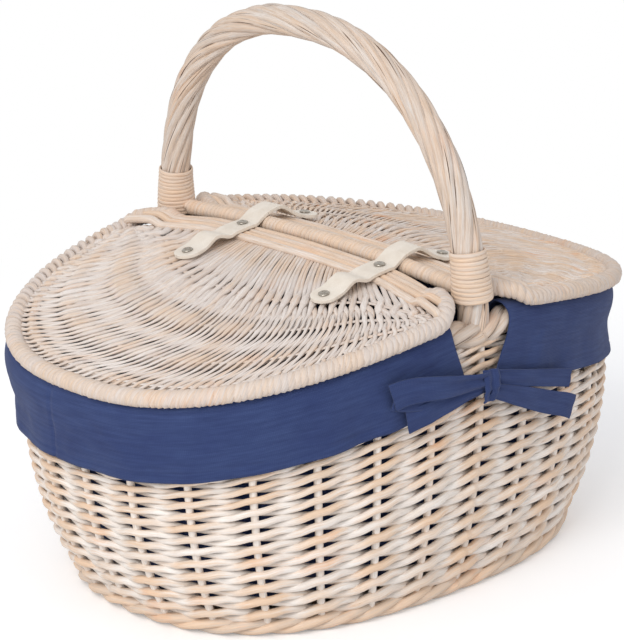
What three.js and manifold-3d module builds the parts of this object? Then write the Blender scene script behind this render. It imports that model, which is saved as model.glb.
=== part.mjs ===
// An oval willow picnic basket with two hinged lids, a fixed arched handle and a tied cloth liner.
// Millimetres, +Z up. X runs along the oval, the handle stands across it in the YZ plane,
// and the origin is the middle of the oval on the ground.
import * as THREE from "three";
import { mergeVertices } from "three/addons/utils/BufferGeometryUtils.js";
import Module from "manifold-3d";

// The oval and its rim
const lidLength = 450; // over both lids, end to end
const lidWidth = 339; // over a lid, side to side
const ovalPower = 2.45; // 2 is an ellipse, more is squarer
const rimHeight = 206; // underside of the lid rims beside the handle
const rimDrop = 37.5; // how much lower that is at the two ends
const rimDropPower = 1.32; // how the rim falls away from the handle

// The woven body
const footLength = 354;
const footWidth = 263;
const bellyPower = 2.8; // how soon the side swells out above the foot
const wallInset = 8.5; // wall inside the edge of the lids
const wallThickness = 8;
const weaveRelief = 1.3; // how far the rods stand in and out of the wall
const stakeCount = 28;
const rowCount = 13;
const footHeight = 12;
const footThickness = 13;
const footBulge = 1.5; // foot roll outside the wall
const footEdge = 3; // its rounded corners
const baseClearance = 2.5; // underside of the base above the ground
const baseThickness = 6;
const baseCrown = 5; // middle of the base above its edge

// The rolled border
const borderWidth = 19.4;
const borderHeight = 20;
const borderCut = 6; // its rounded corners
const borderBulge = 0.5; // border outside the wall

// The handle
const handleInset = 19; // middle of a foot inside the edge of the lids
const handleTop = 377.5; // middle of the handle at its highest
const handlePower = 2.24;
const handleLean = -9.5; // the top leans a little towards the left lid
const handleDiameter = 21.4;
const handleRods = 9;
const rodGroove = 1.3; // depth between neighbouring rods
const handleTurns = 2.4; // twist from foot to foot
const coreDiameter = 11;
const legBottom = 92; // where the core ends inside the wall
const legPoints = 3;
const bindingHeight = 36;
const bindingTurns = 10;
const bindingSides = 12;
const bindingTop = 12.4; // outer radius at its top
const bindingBottom = 14.4; // and at its foot
const turnRelief = 0.7; // depth between neighbouring turns

// The wrapped bar between the feet
const centreBarDiameter = 12.4;
const centreCoreDiameter = 8;
const centreBarRise = 4.8; // above the middle of the lids there

// The lids
const lidRimDiameter = 12.4;
const lidBarOffset = 16.5; // ends of the hoop from the middle of the basket
const lidBarInner = 8.3; // the bar between them is a flat band from here
const lidBarOuter = 28.3; // to here
const lidBarTop = 6; // above the middle of the lid's thickness
const lidBarUnder = 4.8; // and below it
const lidBarPower = 2.6; // how square its section is
const lidBarInset = 45.5; // its ends inside the edge of the lids
const cornerStart = 45; // where the hoop leaves the oval for its corner
const cornerRound = 12; // how gently it turns away from the bar
const cornerPull = 26; // how square that corner is
const cornerLift = 4.6; // the corner rides up over the border
const cornerRise = 6; // within this distance of the oval
const cornerHold = 2.4; // level stretch of the hoop past the bar's end
const cornerRun = 12; // and the stretch it climbs over
const hoopJoint = 1.1; // hoop end to bar end
const lidDome = 8;
const lidThickness = 4.4;
const lidRise = 0.5; // weave above the middle of the hoop
const lidRibs = [0.2, 0.44, 0.69, 0.91]; // where they lie, as shares of the way from the bar to the hoop
const lidRelief = 1.8; // how far a strand stands up where it passes over a rib

// The leather straps and their rivets
const strapWidth = 20;
const strapThickness = 2.4;
const strapLeft = 76; // from the middle of the basket to a strap's end on the left lid
const strapRight = 51; // and on the right lid
const strapFold = 12.3; // where a strap folds beside the wrapped bar
const strapRest = 16.5; // where it is level on the lid's bar
const strapStep = 12.5; // from there outward to where the strap starts down to the weave
const strapSlope = 7; // and how long that takes
const crownAngle = 40; // half the arc that lies on the wrapped bar, degrees
const nearStrap = -79;
const farStrap = 60;
const rivetInset = 8.8; // the end rivet from the strap's end
const rivetHead = 8;
const rivetDome = 1.6;
const rivetShank = 3;
const washerDiameter = 7;
const washerThickness = 1;

// The cloth liner
const clothThickness = 1.4;
const cuffDrop = 51; // how far the cuff hangs below the rim
const cuffHold = 22; // how far it reaches down inside
const cuffGap = 44; // bare border at each handle foot
const cuffFolds = 9; // soft folds round each half of the cuff
const foldDepth = 0.9;
const bagSlack = 4; // cloth away from the wall
const bagDrawn = 0.55; // share of the height where it starts to draw in to the border
const bagFull = 0.85; // and where it is all the way in
const legSpread = 0.155; // how wide the cloth bulges over a leg of the handle
const knotHeight = 157;
const knotWidth = 17;
const tieWidth = 17;
const tieThickness = 2;
const loopLength = 84;
const loopRise = 5; // how far the loop's end stands above the knot
const tailLength = 96;
const leftDrop = 12; // how far the tails' ends hang below the knot
const rightDrop = 22;
const frontDrop = 44;

// Clearances
const gap = 0.35; // between pieces that touch
const clothEase = 0.45; // more beside the border, where the cloth bends round it
const holeGap = 0.4; // round a shank or a core, on the radius
const legClearance = 2; // core ends inside the wall

// Steps of the surfaces
const ovalSteps = stakeCount * 2;
const linerSteps = 32;
const handleSteps = 32;
const barSteps = 12;
const hoopSteps = 26;
const cornerSteps = 9;
const lidColumns = 36;
const lidBarSides = 10;

const wasm = await Module();
wasm.setup();

const { PI, abs, atan, atan2, cos, hypot, max, min, sign, sin } = Math;
const wallHalfLength = lidLength / 2 - wallInset;
const wallHalfWidth = lidWidth / 2 - wallInset;
const handleSpan = lidWidth - 2 * handleInset;
const lidBarLength = lidWidth - 2 * lidBarInset;
const hoopHalfLength = (lidLength - lidRimDiameter) / 2;
const hoopHalfWidth = (lidWidth - lidRimDiameter) / 2;

// The lid rests on the cuff, and the cuff on the border.
const lidUnderside = lidRimDiameter / 2 + lidRise - lidThickness / 2;
const borderTop = lidUnderside - 3 * gap - clothThickness;
const borderBottom = borderTop - borderHeight;

const mix = (a, b, share) => a + (b - a) * share;
const smooth = (share) => share * share * (3 - 2 * share);
const clamp01 = (v) => min(1, max(0, v));
const steps = (count, make) => Array.from({ length: count }, (_, i) => make(i));

// Outlines

function ovalPoint(halfLength, halfWidth, angle) {
  const along = abs(cos(angle) / halfLength) ** ovalPower;
  const across = abs(sin(angle) / halfWidth) ** ovalPower;
  const reach = (along + across) ** (-1 / ovalPower);
  return new THREE.Vector2(reach * cos(angle), reach * sin(angle));
}

function ovalNormal(halfLength, halfWidth, p) {
  const slope = (v, half) => (sign(v) * abs(v / half) ** (ovalPower - 1)) / half;
  return new THREE.Vector2(slope(p.x, halfLength), slope(p.y, halfWidth)).normalize();
}

function ovalWidthAt(halfLength, halfWidth, x) {
  return halfWidth * (1 - min(1, abs(x) / halfLength) ** ovalPower) ** (1 / ovalPower);
}

// The rim falls from the handle to the ends, alike on each oval inside the lids.
function rimLevel(x, halfLength) {
  return rimHeight - rimDrop * min(1, abs(x) / halfLength) ** rimDropPower;
}

function rimAt(angle) {
  return rimLevel(ovalPoint(wallHalfLength, wallHalfWidth, angle).x, wallHalfLength);
}

// A point on the outside of the wall, moved in by an inset.
function wallPoint(angle, height, inset) {
  const swell = 1 - (1 - clamp01(height / rimAt(angle))) ** bellyPower;
  const halfLength = mix(footLength / 2, wallHalfLength, swell);
  const halfWidth = mix(footWidth / 2, wallHalfWidth, swell);
  const p = ovalPoint(halfLength, halfWidth, angle);
  const n = ovalNormal(halfLength, halfWidth, p);
  return new THREE.Vector3(p.x - n.x * inset, p.y - n.y * inset, height);
}

// The same, with its height counted from the rim above it.
function rimPoint(angle, below, inset) {
  return wallPoint(angle, rimAt(angle) + below, inset);
}

// The middle of a lid's thickness.
function lidLevel(x, y) {
  const dome = 1 - (x / hoopHalfLength) ** 2 - (y / hoopHalfWidth) ** 2;
  return rimLevel(x, hoopHalfLength) + lidRimDiameter / 2 + lidDome * max(0, dome);
}

function centreBarLevel(y) {
  return lidLevel(0, y) + centreBarRise;
}

// Surfaces

function closedMesh(points, faces) {
  const geometry = new THREE.BufferGeometry();
  geometry.setAttribute("position", new THREE.Float32BufferAttribute(points.flatMap((p) => p.toArray()), 3));
  const volume = faces.reduce((sum, [a, b, c]) => sum + points[a].dot(points[b].clone().cross(points[c])), 0);
  geometry.setIndex(faces.flatMap((f) => (volume < 0 ? [f[0], f[2], f[1]] : f)));
  geometry.computeVertexNormals();
  return geometry;
}

function quad(faces, a, b, c, d) {
  faces.push([a, b, c], [a, c, d]);
}

// Rings of equal length, joined one to the next. A ring of rings closes, a row of rings is capped.
function loft(rings, ring = false) {
  const around = rings[0].length;
  const points = rings.flat();
  const faces = [];
  const last = ring ? rings.length : rings.length - 1;
  for (let i = 0; i < last; i++) {
    for (let j = 0; j < around; j++) {
      const here = i * around;
      const next = ((i + 1) % rings.length) * around;
      const k = (j + 1) % around;
      quad(faces, here + j, here + k, next + k, next + j);
    }
  }
  if (!ring) {
    [0, rings.length - 1].forEach((i) => {
      const middle = rings[i].reduce((sum, p) => sum.add(p), new THREE.Vector3()).divideScalar(around);
      const centre = points.push(middle) - 1;
      for (let j = 0; j < around; j++) {
        const a = i * around + j;
        const b = i * around + ((j + 1) % around);
        faces.push(i === 0 ? [centre, b, a] : [centre, a, b]);
      }
    });
  }
  return closedMesh(points, faces);
}

// A sheet with an outer and an inner face, each a list of rows. A round sheet's rows close,
// and a floored one ends in a middle. An open sheet's outer face may have its rows split finer.
function sheet(outer, inner, { round = false, floored = false } = {}) {
  const columns = outer[0].length;
  const points = [...outer.flat(), ...inner.flat()];
  const faces = [];
  const spans = round ? columns : columns - 1;
  const at = [0, outer.length * columns];
  [outer, inner].forEach((rows, face) => {
    for (let i = 0; i + 1 < rows.length; i++) {
      for (let j = 0; j < spans; j++) {
        const a = at[face] + i * columns;
        const b = a + columns;
        const k = (j + 1) % columns;
        if (face === 0) quad(faces, a + j, a + k, b + k, b + j);
        else quad(faces, a + j, b + j, b + k, a + k);
      }
    }
  });
  const lastOuter = at[0] + (outer.length - 1) * columns;
  const lastInner = at[1] + (inner.length - 1) * columns;
  for (let j = 0; j < spans; j++) {
    const k = (j + 1) % columns;
    quad(faces, at[0] + k, at[0] + j, at[1] + j, at[1] + k);
    if (!floored) quad(faces, lastOuter + j, lastOuter + k, lastInner + k, lastInner + j);
  }
  if (floored) {
    [[outer, lastOuter, false], [inner, lastInner, true]].forEach(([rows, start, flip]) => {
      const row = rows[rows.length - 1];
      const middle = row.reduce((sum, p) => sum.add(p), new THREE.Vector3()).divideScalar(columns);
      const centre = points.push(middle) - 1;
      for (let j = 0; j < columns; j++) {
        const k = (j + 1) % columns;
        faces.push(flip ? [start + k, start + j, centre] : [start + j, start + k, centre]);
      }
    });
  }
  if (!round) {
    const finer = (outer.length - 1) / (inner.length - 1);
    const end = columns - 1;
    for (let i = 0; i + 1 < inner.length; i++) {
      const b = at[1] + i * columns;
      const rows = steps(finer + 1, (k) => at[0] + (i * finer + k) * columns);
      rows.slice(1).forEach((a, k) => faces.push([b, rows[k], a], [b + end, a + end, rows[k] + end]));
      faces.push([b, rows[finer], b + columns], [b + end, b + columns + end, rows[finer] + end]);
    }
  }
  return closedMesh(points, faces);
}

function polygon(radius, sides) {
  return new THREE.Shape(
    steps(sides, (i) => new THREE.Vector2(radius, 0).rotateAround(new THREE.Vector2(), (2 * PI * i) / sides)),
  );
}

// A round rod along a curve.
function rod(curve, diameter, count, sides) {
  return new THREE.ExtrudeGeometry(polygon(diameter / 2, sides), {
    steps: count,
    extrudePath: curve,
    bevelEnabled: false,
  });
}

// A round pipe through points that lie nearly level, ringed at each point.
function pipe(path, diameter, sides) {
  const rings = path.map((p, i) => {
    const along = path[min(i + 1, path.length - 1)].clone().sub(path[max(i - 1, 0)]).normalize();
    const across = along.clone().cross(new THREE.Vector3(0, 0, 1)).normalize();
    const up = across.clone().cross(along);
    return steps(sides, (j) => {
      const spoke = new THREE.Vector2(diameter / 2, 0).rotateAround(new THREE.Vector2(), (2 * PI * j) / sides);
      return p.clone().addScaledVector(across, spoke.x).addScaledVector(up, spoke.y);
    });
  });
  return loft(rings);
}

function solidOf(geometry) {
  const bare = geometry.clone();
  bare.deleteAttribute("normal");
  bare.deleteAttribute("uv");
  const merged = mergeVertices(bare, 1e-4);
  return new wasm.Manifold(
    new wasm.Mesh({
      numProp: 3,
      vertProperties: merged.attributes.position.array,
      triVerts: new Uint32Array(merged.index.array),
    }),
  );
}

function geometryOf(solid) {
  const mesh = solid.getMesh();
  const geometry = new THREE.BufferGeometry();
  geometry.setAttribute("position", new THREE.BufferAttribute(mesh.vertProperties, 3));
  geometry.setIndex(new THREE.BufferAttribute(mesh.triVerts, 1));
  geometry.computeVertexNormals();
  return geometry;
}

function cut(geometry, ...tools) {
  return geometryOf(tools.reduce((solid, tool) => solid.subtract(solidOf(tool)), solidOf(geometry)));
}

function join(...geometries) {
  return geometryOf(geometries.map(solidOf).reduce((a, b) => a.add(b)));
}

// Materials

const willow = new THREE.MeshStandardMaterial({ color: 0xdcc8b4, roughness: 0.8 });
const whiteWillow = new THREE.MeshStandardMaterial({ color: 0xe6dacb, roughness: 0.82 });
const cane = new THREE.MeshStandardMaterial({ color: 0xe0bf9a, roughness: 0.7 });
const leather = new THREE.MeshStandardMaterial({ color: 0xe6dccb, roughness: 0.6 });
const steel = new THREE.MeshStandardMaterial({ color: 0xb8b4aa, roughness: 0.3, metalness: 1 });
const cotton = new THREE.MeshStandardMaterial({ color: 0x3b4a78, roughness: 0.9 });

const basket = new THREE.Group();

function add(name, geometry, material, parent = basket) {
  const mesh = new THREE.Mesh(geometry, material);
  mesh.name = name;
  parent.add(mesh);
  return mesh;
}

// The body

const turn = (i, count) => (2 * PI * i) / count;

function footWale() {
  const section = [
    [footEdge, 0],
    [footThickness, 0],
    [footThickness, footHeight],
    [footEdge, footHeight],
    [0, footHeight - footEdge],
    [0, footEdge],
  ];
  return loft(
    steps(ovalSteps, (i) =>
      section.map(([inset, height]) => wallPoint(turn(i, ovalSteps), height, inset - footBulge)),
    ),
    true,
  );
}

const baseInset = footThickness - footBulge + gap;

function baseTopAt(share) {
  return baseClearance + baseThickness + baseCrown * (1 - min(1, share) ** 2);
}

function baseWeave() {
  const shares = [1, 0.78, 0.52, 0.26];
  const row = (share, drop) =>
    steps(linerSteps, (i) => {
      const edge = wallPoint(turn(i, linerSteps), 0, baseInset);
      return new THREE.Vector3(edge.x * share, edge.y * share, baseTopAt(share) - drop);
    });
  return sheet(
    shares.map((share) => row(share, baseThickness)),
    shares.map((share) => row(share, 0)),
    { round: true, floored: true },
  );
}

// Each row of rods stands out over the stakes and draws in between the rows.
function sideWeave() {
  const bottom = footHeight + gap;
  const row = (level, insetAt) =>
    steps(ovalSteps, (i) => {
      const angle = turn(i, ovalSteps);
      const top = rimAt(angle) + borderBottom - gap;
      return wallPoint(angle, mix(bottom, top, level), insetAt(i));
    });
  const outer = steps(2 * rowCount + 1, (k) => {
    const crest = k % 2 ? 1 : -1;
    return row(k / (2 * rowCount), (i) => -weaveRelief * crest * (i % 2 ? 0.3 : 1));
  });
  const inner = [0, 0.12, 0.3, 0.6, 1].map((level) => row(level, () => wallThickness));
  return sheet(outer, inner, { round: true });
}

function rimBorder() {
  const section = [
    [borderCut, borderTop],
    [borderWidth - borderCut, borderTop],
    [borderWidth, borderTop - borderCut],
    [borderWidth, borderBottom + borderCut],
    [borderWidth - borderCut, borderBottom],
    [0, borderBottom],
    [0, borderTop - borderCut],
  ];
  const ring = loft(
    steps(ovalSteps, (i) =>
      section.map(([inset, below]) => rimPoint(turn(i, ovalSteps), below, inset - borderBulge)),
    ),
    true,
  );
  return cut(ring, rod(corePath(), coreDiameter + 2 * holeGap, handleSteps, 8));
}

// The handle

class HandleArch extends THREE.Curve {
  getPoint(t, target = new THREE.Vector3()) {
    const angle = PI * t;
    const rise = max(0, sin(angle)) ** (2 / handlePower);
    const across = (handleSpan / 2) * sign(cos(angle)) * abs(cos(angle)) ** (2 / handlePower);
    return target.set(handleLean * rise, -across, mix(rimHeight, handleTop, rise));
  }
}

const arch = new HandleArch();

// The core leaves the handle at each foot, goes down through the border and lies inside the wall.
function corePath() {
  const inside = wallThickness + coreDiameter / 2 + legClearance;
  const leg = (side) =>
    steps(legPoints, (i) => wallPoint((side * PI) / 2, mix(legBottom, rimHeight, i / legPoints), inside));
  const bend = arch.getSpacedPoints(24);
  return new THREE.CatmullRomCurve3([...leg(-1), ...bend, ...leg(1).reverse()]);
}

// Rings across the arch between two shares of its length, turned with the twist. The shape gives
// a radius for each angle.
function archRings(from, to, count, points, radiusAt, twist = 0) {
  const across = new THREE.Vector3(1, 0, 0);
  return steps(count + 1, (i) => {
    const u = mix(from, to, i / count);
    const centre = arch.getPointAt(u);
    const along = arch.getTangentAt(u);
    const side = across.clone().addScaledVector(along, -across.dot(along)).normalize();
    const up = side.clone().cross(along);
    return steps(points, (j) => {
      const angle = turn(j, points) - 2 * PI * twist * u;
      const reach = radiusAt(angle, u, i);
      return centre.clone().addScaledVector(side, reach * cos(angle)).addScaledVector(up, reach * sin(angle));
    });
  });
}

const archLength = arch.getLength();
const rodStart = (borderTop + 2 * gap) / archLength; // just above the border

function handleRodSweep() {
  const shape = (angle, u) => {
    const lay = (handleRods / 2) * (angle + 2 * PI * handleTurns * u);
    return handleDiameter / 2 - rodGroove * (1 - abs(sin(lay)));
  };
  const twisted = loft(archRings(rodStart, 1 - rodStart, handleSteps, 2 * handleRods, shape, handleTurns));
  return cut(twisted, rod(corePath(), coreDiameter + 3 * holeGap, handleSteps, 6));
}

// Cane wound round a foot of the handle. The groove between its turns climbs as a helix.
function footBinding(side) {
  const length = bindingHeight / archLength;
  const count = 3 * bindingTurns;
  const span = side < 0 ? [rodStart, rodStart + length] : [1 - rodStart, 1 - rodStart - length];
  const outer = archRings(...span, count, bindingSides, (angle, u, i) => {
    const flare = mix(bindingBottom, bindingTop, smooth(i / count));
    const turns = i / 3 + angle / (2 * PI);
    return flare - turnRelief * abs(cos(PI * turns));
  });
  const past = rodStart / 2;
  const bore = archRings(span[0] + side * past, span[1] - side * past, 3, 14, () => handleDiameter / 2 + gap);
  return cut(loft(outer), loft(bore));
}

function centreBarPath(inset) {
  const reach = handleSpan / 2 - bindingBottom - inset;
  return new THREE.CatmullRomCurve3(
    steps(9, (i) => {
      const y = mix(-reach, reach, i / 8);
      return new THREE.Vector3(0, y, centreBarLevel(y));
    }),
  );
}

function centreBarWrap() {
  const whole = rod(centreBarPath(gap), centreBarDiameter, barSteps, 8);
  return cut(whole, rod(centreBarPath(-2), centreCoreDiameter + 2 * holeGap, barSteps, 6));
}

// The lids. The right one is drawn, and the side turns it round for the left.

function hoopPlan() {
  const cornerWidth = ovalWidthAt(hoopHalfLength, hoopHalfWidth, cornerStart);
  const corner = new THREE.CubicBezierCurve(
    new THREE.Vector2(lidBarOffset, -lidBarLength / 2 - hoopJoint),
    new THREE.Vector2(lidBarOffset, -lidBarLength / 2 - hoopJoint - cornerRound),
    new THREE.Vector2(cornerPull, -cornerWidth),
    new THREE.Vector2(cornerStart, -cornerWidth),
  );
  const near = corner.getPoints(cornerSteps).slice(0, cornerSteps);
  const start = atan2(-cornerWidth, cornerStart);
  const round = steps(hoopSteps + 1, (i) =>
    ovalPoint(hoopHalfLength, hoopHalfWidth, mix(start, -start, i / hoopSteps)),
  );
  const far = near.map((p) => new THREE.Vector2(p.x, -p.y)).reverse();
  return [...near, ...round, ...far];
}

// How far the hoop is lifted where its corner crosses the border.
function hoopLift(p) {
  const fromOval = (ovalWidthAt(hoopHalfLength, hoopHalfWidth, p.x) - abs(p.y)) / cornerRise;
  const fromBar = (abs(p.y) - lidBarLength / 2 - cornerHold) / cornerRun;
  return cornerLift * sin((PI / 2) * clamp01(fromOval)) * smooth(clamp01(fromBar));
}

function lidHoop(side) {
  const path = hoopPlan().map((p) => new THREE.Vector3(side * p.x, p.y, lidLevel(p.x, p.y) + hoopLift(p)));
  return pipe(path, lidRimDiameter, 7);
}

// A flat band of rods laid side by side, thicker in its middle.
function lidBar(side, cutters) {
  const halfWidth = (lidBarOuter - lidBarInner) / 2;
  const halfHeight = (lidBarTop + lidBarUnder) / 2;
  const squared = (v) => sign(v) * abs(v) ** (2 / lidBarPower);
  const rings = steps(barSteps + 1, (i) => {
    const y = mix(-lidBarLength / 2, lidBarLength / 2, i / barSteps);
    return steps(lidBarSides, (j) => {
      const angle = turn(j, lidBarSides);
      const x = lidBarInner + halfWidth * (1 + squared(cos(angle)));
      const lift = lidBarTop - halfHeight * (1 - squared(sin(angle)));
      return new THREE.Vector3(side * x, y, lidLevel(x, y) + lift);
    });
  });
  return cut(loft(rings), ...cutters);
}

// The woven field runs in nested arcs from the straight bar to the hoop.
function lidWeave(side, cutters) {
  const plan = hoopPlan();
  const inner = plan.map((p, i) => {
    const along = plan[min(i + 1, plan.length - 1)].clone().sub(plan[max(i - 1, 0)]).normalize();
    return p.clone().addScaledVector(new THREE.Vector2(-along.y, along.x), lidRimDiameter / 2 + 2 * gap);
  });
  const barEdge = lidBarOuter + gap;
  const hoopEdge = new THREE.SplineCurve(inner.filter((p) => p.x > barEdge));
  const barReach = lidBarLength / 2 - lidRimDiameter / 2;
  const point = (u, v, lift) => {
    const far = hoopEdge.getPointAt(v);
    const x = mix(barEdge, far.x, u);
    const y = mix(mix(-barReach, barReach, v), far.y, u);
    return new THREE.Vector3(side * x, y, lidLevel(x, y) + lidRise + lift);
  };
  const face = (shares, liftAt) =>
    shares.map((u, i) => steps(lidColumns + 1, (j) => point(u, j / lidColumns, liftAt(i, j))));
  // Rows on the ribs and halfway between them, from the bar to the hoop.
  const after = [...lidRibs.slice(1), 2 - lidRibs.at(-1)];
  const shares = [0, ...lidRibs.flatMap((rib, i) => [rib, (rib + after[i]) / 2])];
  // On a rib every other strand passes over, and the ones beside it under. Between ribs all lie level.
  const over = (i, j) => {
    if (i === 0 || i === shares.length - 1) return 0;
    return (lidRelief / 2) * (1 + cos((PI * (i - 1)) / 2 + PI * j) * (i % 2));
  };
  const top = face(shares, (i, j) => lidThickness / 2 + over(i, j));
  const bottom = face(shares.filter((_, i) => i % 2 === 0), () => -lidThickness / 2);
  return cut(sheet(top, bottom), ...cutters);
}

// Straps. Each lies on a lid, folds beside the wrapped bar and goes over it.

const lidTop = lidRise + lidThickness / 2 + lidRelief; // above the lid's middle

function strapUnderside(x, y) {
  const onBar = 1 - smooth(clamp01((x - strapRest - strapStep) / strapSlope));
  const lift = mix(lidTop, lidBarTop, onBar);
  return lidLevel(max(x, strapRest), y) + lift + gap;
}

const strapReach = (side) => (side < 0 ? strapLeft : strapRight);

// A strap's rivets on one side: at its end, and on the left also through the lid's bar.
const rivetReaches = (side) => [strapReach(side) - rivetInset, ...(side < 0 ? [strapRest] : [])];

// A frame on the lid's surface across a strap, tipped as the lid's dome is there.
function strapFrame(y) {
  const frame = new THREE.Group();
  const probe = 5;
  frame.position.set(0, y, strapUnderside(strapRest, y));
  frame.rotation.x = atan((lidLevel(strapRest, y + probe) - lidLevel(strapRest, y - probe)) / (2 * probe));
  frame.updateMatrix();
  return frame;
}

function strapTab(side, y, cutters) {
  const zero = strapUnderside(strapRest, y);
  const reach = strapReach(side);
  const along = [strapFold, ...steps(8, (i) => mix(strapRest, reach, i / 7))];
  const low = along.map((x) => new THREE.Vector2(x, strapUnderside(x, y) - zero));
  const high = low.map((p) => new THREE.Vector2(p.x, p.y + strapThickness)).reverse();
  const band = new THREE.ExtrudeGeometry(new THREE.Shape([...low, ...high]), {
    depth: strapWidth,
    bevelEnabled: false,
  });
  band.rotateX(PI / 2).translate(0, strapWidth / 2, 0);
  const outline = new THREE.Shape();
  outline.moveTo(0, -strapWidth / 2);
  outline.lineTo(reach - strapWidth / 2, -strapWidth / 2);
  outline.absarc(reach - strapWidth / 2, 0, strapWidth / 2, -PI / 2, PI / 2, false);
  outline.lineTo(0, strapWidth / 2);
  const plan = new THREE.ExtrudeGeometry(outline, { depth: 2 * reach, bevelEnabled: false, curveSegments: 6 });
  plan.translate(0, 0, -reach);
  const tab = solidOf(band).intersect(solidOf(plan));
  return mirrored(cut(geometryOf(tab), ...cutters), side);
}

// Mirrored for the left lid, with its faces kept outward.
function mirrored(geometry, side) {
  if (side > 0) return geometry;
  const turned = geometry.clone().scale(-1, 1, 1);
  const index = turned.index.array;
  for (let i = 0; i < index.length; i += 3) [index[i + 1], index[i + 2]] = [index[i + 2], index[i + 1]];
  turned.computeVertexNormals();
  return turned;
}

function strapCrown() {
  const inner = centreBarDiameter / 2 + gap;
  const from = PI / 2 - THREE.MathUtils.degToRad(crownAngle);
  const to = PI - from;
  const shape = new THREE.Shape();
  shape.absarc(0, 0, inner + strapThickness, from, to, false);
  shape.absarc(0, 0, inner, to, from, true);
  const arc = new THREE.ExtrudeGeometry(shape, { depth: strapWidth, bevelEnabled: false, curveSegments: 6 });
  return arc.rotateX(PI / 2).translate(0, strapWidth / 2, 0);
}

// A rivet's place on its strap: the point on the leather and the lean of the surface there.
function rivetPlace(x, y) {
  const probe = 3;
  const zero = strapUnderside(strapRest, y);
  const lean = (strapUnderside(x + probe, y) - strapUnderside(x - probe, y)) / (2 * probe);
  return { x, z: strapUnderside(x, y) - zero + strapThickness, tilt: -atan(lean) };
}

function rivet(grip) {
  const head = rivetHead / 2;
  const shank = rivetShank / 2;
  const washer = washerDiameter / 2;
  const profile = [
    [0, -grip - washerThickness],
    [washer, -grip - washerThickness],
    [washer, -grip],
    [shank, -grip],
    [shank, gap],
    [head, gap],
    [head * 0.8, gap + rivetDome * 0.7],
    [head * 0.4, gap + rivetDome * 0.95],
    [0, gap + rivetDome],
  ];
  return new THREE.LatheGeometry(profile.map(([r, z]) => new THREE.Vector2(r, z)), 8).rotateX(PI / 2);
}

function rivetHole(x, y) {
  const { z, tilt } = rivetPlace(x, y);
  const deep = 30;
  const drill = new THREE.CylinderGeometry(rivetShank / 2 + holeGap, rivetShank / 2 + holeGap, 2 * deep, 8);
  return drill.rotateX(PI / 2).rotateY(tilt).translate(x, 0, z);
}

const endGrip = strapThickness + lidTop + gap - lidRise + lidThickness / 2 + 3 * gap;
const barGrip = strapThickness + lidBarTop + lidBarUnder + 3 * gap;

function addStrap(label, y) {
  const frame = strapFrame(y);
  basket.add(frame);
  const crown = add(`strap_${label}_crown`, strapCrown(), leather, frame);
  crown.position.z = centreBarLevel(y) - strapUnderside(strapRest, y);
  [-1, 1].forEach((side) => {
    const lid = side < 0 ? "left" : "right";
    const holes = rivetReaches(side);
    const cutters = holes.map((x) => rivetHole(x, y));
    add(`strap_${label}_${lid}_tab`, strapTab(side, y, cutters), leather, frame);
    holes.forEach((x, i) => {
      const place = rivetPlace(x, y);
      const name = i === 0 ? `rivet_${label}_${lid}` : `rivet_${label}_middle`;
      const pin = add(name, rivet(i === 0 ? endGrip : barGrip), steel, frame);
      pin.position.set(side * place.x, 0, place.z);
      pin.rotation.y = side * place.tilt;
    });
  });
}

// The rivets' holes through a lid's weave, or through its bar.
function lidHoles(side, x) {
  return [nearStrap, farStrap].map((y) => {
    const drill = mirrored(solidGeometry(rivetHole(x, y)), side);
    return drill.applyMatrix4(strapFrame(y).matrix);
  });
}

function solidGeometry(geometry) {
  return geometryOf(solidOf(geometry));
}

function addLid(name, side) {
  add(`${name}_hoop`, lidHoop(side), willow);
  const [atEnd, ...throughBar] = rivetReaches(side);
  add(`${name}_bar`, lidBar(side, throughBar.flatMap((x) => lidHoles(side, x))), cane);
  add(`${name}_weave`, lidWeave(side, lidHoles(side, atEnd)), whiteWillow);
}

// The liner

// The cuff comes up inside the border, turns over it and hangs outside with soft folds.
function linerCuff(side) {
  const half = clothThickness / 2;
  const off = gap + half + clothEase;
  const outside = -borderBulge - weaveRelief - off;
  const section = [
    [borderWidth - borderBulge + off, borderTop - cuffHold],
    [borderWidth - borderBulge + off, borderTop - borderCut],
    [borderWidth - borderBulge - borderCut + off / 2, borderTop + off],
    [borderCut - borderBulge - off / 2, borderTop + off],
    [-borderBulge - off, borderTop - borderCut],
    [outside, mix(borderBottom, -cuffDrop, 0.3)],
    [outside, -cuffDrop],
  ];
  const edge = atan2(wallHalfWidth, cuffGap / 2);
  const columns = 4 * cuffFolds; // four steps to a fold
  const rows = (direction) =>
    section.map(([inset, below], row) => {
      const before = section[max(0, row - 1)];
      const after = section[min(section.length - 1, row + 1)];
      const run = new THREE.Vector2(after[0] - before[0], after[1] - before[1]).normalize();
      const loose = clamp01((borderTop - borderCut - below) / cuffDrop) * (row > 3 ? 1 : 0);
      return steps(columns + 1, (i) => {
        const angle = (side < 0 ? PI : 0) + mix(-edge, edge, i / columns);
        const fold = foldDepth * loose * (1 + sin((PI * i) / 2 + (row * PI) / 9));
        const inset2 = inset - run.y * half * direction - fold;
        return rimPoint(angle, below + run.x * half * direction, inset2);
      });
    });
  return sheet(rows(-1), rows(1));
}

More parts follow.
